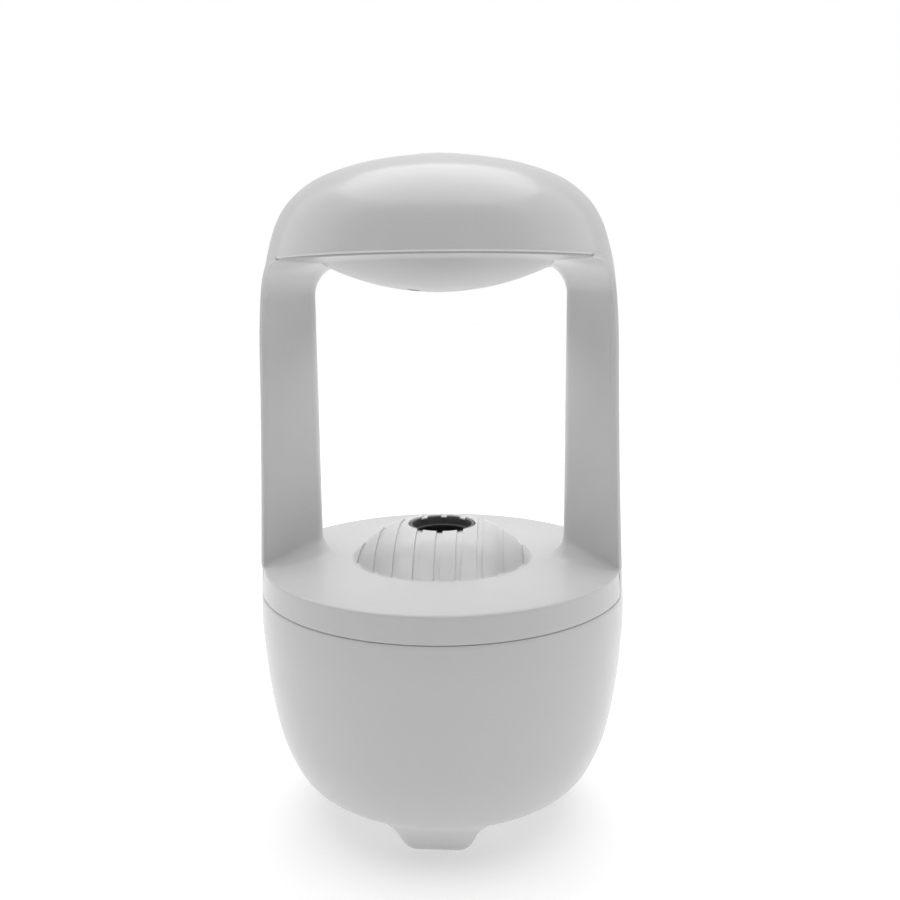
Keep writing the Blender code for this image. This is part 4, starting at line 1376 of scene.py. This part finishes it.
class HUMIDIFIER_OT_screws(bpy.types.Operator):
    """Builds the screws of the casing and the bottom cover, with cross recesses"""

    bl_idname = "humidifier.screws"
    bl_label = "Screws"

    def execute(self, context):
        places = []
        for i, angle in enumerate(COVER_SCREWS):
            places.append((f"bottom_screw_{i + 1}", on_circle(COVER_SCREW_CIRCLE, angle), None))
        for i, (x, z) in enumerate(CASING_SCREWS):
            places.append((f"casing_screw_{i + 1}", (x * MM, 0.0), z * MM))
        for name, centre, along_y in places:
            seat, tip, out = (11.7, 21.5, -1) if along_y is None else (9.3, -15.0, 1)
            way = 1 if tip > seat else -1
            shank = []
            height = seat
            while (tip - height) * way > 1.0:
                shank += [(1.2, height), (0.95, height + 0.35 * way)]
                height += 0.7 * way
            head = [(0.0, seat + 1.5 * out), (1.3, seat + 1.42 * out), (2.2, seat + 1.1 * out)]
            outline = [(0.0, tip), (0.5, tip - 0.5 * way), *reversed(shank)]
            outline += [(2.6, seat), (2.6, seat + 0.45 * out)]
            screw = fine_turned(
                f"{name}_fine",
                [*outline, *reversed(head)],
                ["drawn_steel"],
                HOUSING,
                name,
                32,
                centre,
                along_y,
            )
            self.cut_cross(screw, centre, along_y, seat + 1.5 * out, out)
        return {"FINISHED"}

    @staticmethod
    def cut_cross(screw, centre, along_y, face, out):
        """The cross recess, a millimetre deep."""
        long, thin, deep = 1.35 * MM, 0.28 * MM, 1.0 * MM
        low, high = sorted((face * MM - out * deep, face * MM + out * deep))
        cutters = []
        for i, (a, b) in enumerate(((long, thin), (thin, long))):
            if along_y is None:
                spans = (centre[0] - a, centre[1] - b, low), (centre[0] + a, centre[1] + b, high)
            else:
                spans = (centre[0] - a, low, along_y - b), (centre[0] + a, high, along_y + b)
            cutters.append(block(f"cross_{i}", *spans))
        cut_away(screw, cutters)


INNER_FINISHES = {
    "base_chassis": "inner_white",
    "bottom_cover": "cover_white",
    "water_tank": "inner_white",
    "tank_gasket": "soft_silicone",
    "pump_cover": "black_plastic",
    "pump_volute": "black_plastic",
    "pump_impeller": "inner_white",
    "pump_motor": "drawn_steel",
    "riser_hose": "soft_silicone",
    "float_post": "inner_white",
    "float": "closed_foam",
    "upper_reservoir": "inner_white",
    "reservoir_lid": "inner_white",
    "drip_nozzle": "inner_white",
    "nozzle_seal": "soft_silicone",
    "wick_pad": "pressed_felt",
    "atomizer_seal": "soft_silicone",
    "atomizer_disc": "polished_steel",
    "atomizer_retainer": "inner_white",
    "mist_chimney": "inner_white",
    "led_board": "circuit_board",
    "strobe_led": "clear_lens",
    "led_window": "smoked_lens",
    "wire_harness": "cable_black",
    "main_board": "circuit_board",
    "power_switch": "black_plastic",
    "light_switch": "black_plastic",
    "usb_socket": "polished_steel",
}


class HUMIDIFIER_OT_inner_parts(bpy.types.Operator):
    """Gives the pieces inside, whose CAD shapes are shown, their finishes"""

    bl_idname = "humidifier.inner_parts"
    bl_label = "Inner Parts"

    def execute(self, context):
        for node, finish in INNER_FINISHES.items():
            for place in frame["nodes"][node].material_slots:
                place.material = finish_named(finish)
        return {"FINISHED"}


class HUMIDIFIER_OT_finishes(bpy.types.Operator):
    """Makes every finish"""

    bl_idname = "humidifier.finishes"
    bl_label = "Finishes"

    def execute(self, context):
        chosen = context.scene.humidifier_finish
        shell_white("shell_white", chosen.white, chosen.gloss, coat=0.3)
        # The bulge's white is the shell white darkened to 0.64: painted shade for the bulge's underside under
        # the ceiling.
        shell_white("bulge_painted_shade_white", tinted(chosen.white, 0.64), chosen.gloss, coat=0.1)
        plain_plastic("inner_white", (0.74, 0.74, 0.73), 0.50)
        plain_plastic("cover_white", (0.76, 0.76, 0.76), 0.42)
        plain_plastic("cup_grey", chosen.cup, 0.42)
        # Near black for the strainer cup's inside faces: painted shade in the recess.
        plain_plastic("cup_inside_painted_shade", (0.012, 0.012, 0.012), 0.5)
        plain_plastic("black_plastic", (0.03, 0.03, 0.03), 0.48)
        plain_plastic("cable_black", (0.022, 0.022, 0.024), 0.6, 0.06 * MM)
        pad_rubber("pad_rubber", chosen.rubber)
        soft_silicone("soft_silicone")
        circuit_board("circuit_board")
        drawn_steel("drawn_steel")
        drawn_steel("polished_steel", 0.16)
        pressed_felt("pressed_felt")
        closed_foam("closed_foam")
        clear_lens("clear_lens", (0.85, 0.88, 0.90), 0.8)
        plain_plastic("smoked_lens", (0.006, 0.006, 0.006), 0.6)
        pale_floor("pale_floor")
        return {"FINISHED"}


# ---------------------------------------------------------------- stage


def softbox(name, power, place, target, width, height):
    light = bpy.data.lights.new(name, "AREA")
    light.energy = power
    light.shape = "RECTANGLE"
    light.size = width
    light.size_y = height
    obj = placed(name, light)
    obj.location = place
    obj.rotation_mode = "QUATERNION"
    obj.rotation_quaternion = (Vector(target) - Vector(place)).to_track_quat("-Z", "Y")
    return obj


def overhead_light(strength):
    """A wide even light from above."""
    light = bpy.data.lights.new("overhead_light", "SUN")
    light.energy = strength
    light.angle = math.radians(75)
    obj = placed("overhead_light", light)
    obj.rotation_euler = (math.radians(-6), 0.0, 0.0)


def studio_surround(level):
    """A white surround that lights the object only softly, and shows white in its gloss."""
    world = bpy.data.worlds.new("studio")
    bpy.context.scene.world = world
    world.use_nodes = True
    nodes, links = world.node_tree.nodes, world.node_tree.links
    back = nodes["Background"]
    back.inputs["Color"].default_value = (1.0, 1.0, 1.0, 1.0)
    path = nodes.new("ShaderNodeLightPath")
    mirrored, strength = (nodes.new("ShaderNodeMix") for _ in range(2))
    mirrored.inputs["A"].default_value = level
    mirrored.inputs["B"].default_value = 0.7
    strength.inputs["B"].default_value = 1.0
    links.new(path.outputs["Is Glossy Ray"], mirrored.inputs["Factor"])
    links.new(path.outputs["Is Camera Ray"], strength.inputs["Factor"])
    links.new(mirrored.outputs[0], strength.inputs["A"])
    links.new(strength.outputs[0], back.inputs["Strength"])


class HUMIDIFIER_OT_stage(bpy.types.Operator):
    """Sets the floor, the softboxes and the camera"""

    bl_idname = "humidifier.stage"
    bl_label = "Studio"

    def execute(self, context):
        stage = context.scene.humidifier_stage
        shape = bmesh.new()
        rows = [[(-6 + 0.5 * k, -4 + 0.5 * i, 0.0) for k in range(25)] for i in range(25)]
        add_grid(shape, rows, flip=True)
        floor = add_piece("studio_floor", shape, ["pale_floor"])

        middle = (0.0, 0.0, 0.12)
        overhead_light(stage.top_power)
        softbox("dome_softbox", stage.dome_power, (0.0, -0.03, 0.62), middle, 0.7, 0.4)
        # This one hangs in the window, just under the bulge, and is itself never seen.
        lamp = softbox("deck_softbox", stage.deck_power, (0.0, 0.0, 0.187), (0.0, 0.0, 0.0), 0.07, 0.06)
        lamp.data.spread = math.radians(105)
        lamp.visible_camera = False
        lamp.visible_glossy = False
        back = softbox("rear_softbox", stage.rear_power, (0.0, 0.75, 0.75), middle, 0.8, 0.4)
        back.visible_glossy = False
        softbox("left_softbox", stage.side_power, (-0.8, 0.12, 0.6), middle, 0.9, 0.9)
        softbox("right_softbox", stage.side_power, (0.8, 0.12, 0.6), middle, 0.9, 0.9)
        studio_surround(stage.surround)
        context.scene.view_settings.view_transform = "Standard"

        lens = bpy.data.cameras.new("camera")
        lens.lens = stage.lens
        lens.sensor_width = 36.0
        lens.shift_x = stage.shift
        lens.clip_start = 0.01
        camera = placed("camera", lens)
        turned = stage.azimuth
        camera.location = (
            stage.distance * math.sin(turned),
            -stage.distance * math.cos(turned),
            stage.height,
        )
        heading = Euler((0.0, 0.0, turned)).to_matrix()
        dip = Euler((math.pi / 2 - stage.pitch, 0.0, 0.0)).to_matrix()
        tilt = Euler((0.0, 0.0, stage.roll)).to_matrix()
        camera.rotation_euler = (heading @ dip @ tilt).to_euler()
        context.scene.camera = camera
        return {"FINISHED"}


# ---------------------------------------------------------------- panel


STEPS = (
    HUMIDIFIER_OT_finishes,
    HUMIDIFIER_OT_casings,
    HUMIDIFIER_OT_inner_frame,
    HUMIDIFIER_OT_strainer,
    HUMIDIFIER_OT_cap,
    HUMIDIFIER_OT_buttons,
    HUMIDIFIER_OT_foot_pads,
    HUMIDIFIER_OT_screws,
    HUMIDIFIER_OT_inner_parts,
    HUMIDIFIER_OT_stage,
)


class HUMIDIFIER_PT_panel(bpy.types.Panel):
    """Lists the steps that build the humidifier"""

    bl_idname = "HUMIDIFIER_PT_panel"
    bl_label = "Cool Mist Humidifier"
    bl_space_type = "VIEW_3D"
    bl_region_type = "UI"
    bl_category = "Humidifier"

    def draw(self, context):
        for step in STEPS:
            self.layout.operator(step.bl_idname)


SETTINGS = {
    "humidifier_casing": CasingSettings,
    "humidifier_frame": FrameSettings,
    "humidifier_finish": FinishSettings,
    "humidifier_stage": StageSettings,
}


def register():
    for group in SETTINGS.values():
        bpy.utils.register_class(group)
    for name, group in SETTINGS.items():
        setattr(bpy.types.Scene, name, bpy.props.PointerProperty(type=group))
    for step in (*STEPS, HUMIDIFIER_PT_panel):
        bpy.utils.register_class(step)


def unregister():
    for step in (HUMIDIFIER_PT_panel, *reversed(STEPS)):
        bpy.utils.unregister_class(step)
    for name, group in SETTINGS.items():
        delattr(bpy.types.Scene, name)
        bpy.utils.unregister_class(group)


def main():
    register()
    bpy.ops.humidifier.finishes()
    bpy.ops.humidifier.casings()
    bpy.ops.humidifier.inner_frame()
    bpy.ops.humidifier.strainer()
    bpy.ops.humidifier.cap()
    bpy.ops.humidifier.buttons()
    bpy.ops.humidifier.foot_pads()
    bpy.ops.humidifier.screws()
    bpy.ops.humidifier.inner_parts()
    bpy.ops.humidifier.stage()


if __name__ == "__main__":
    main()
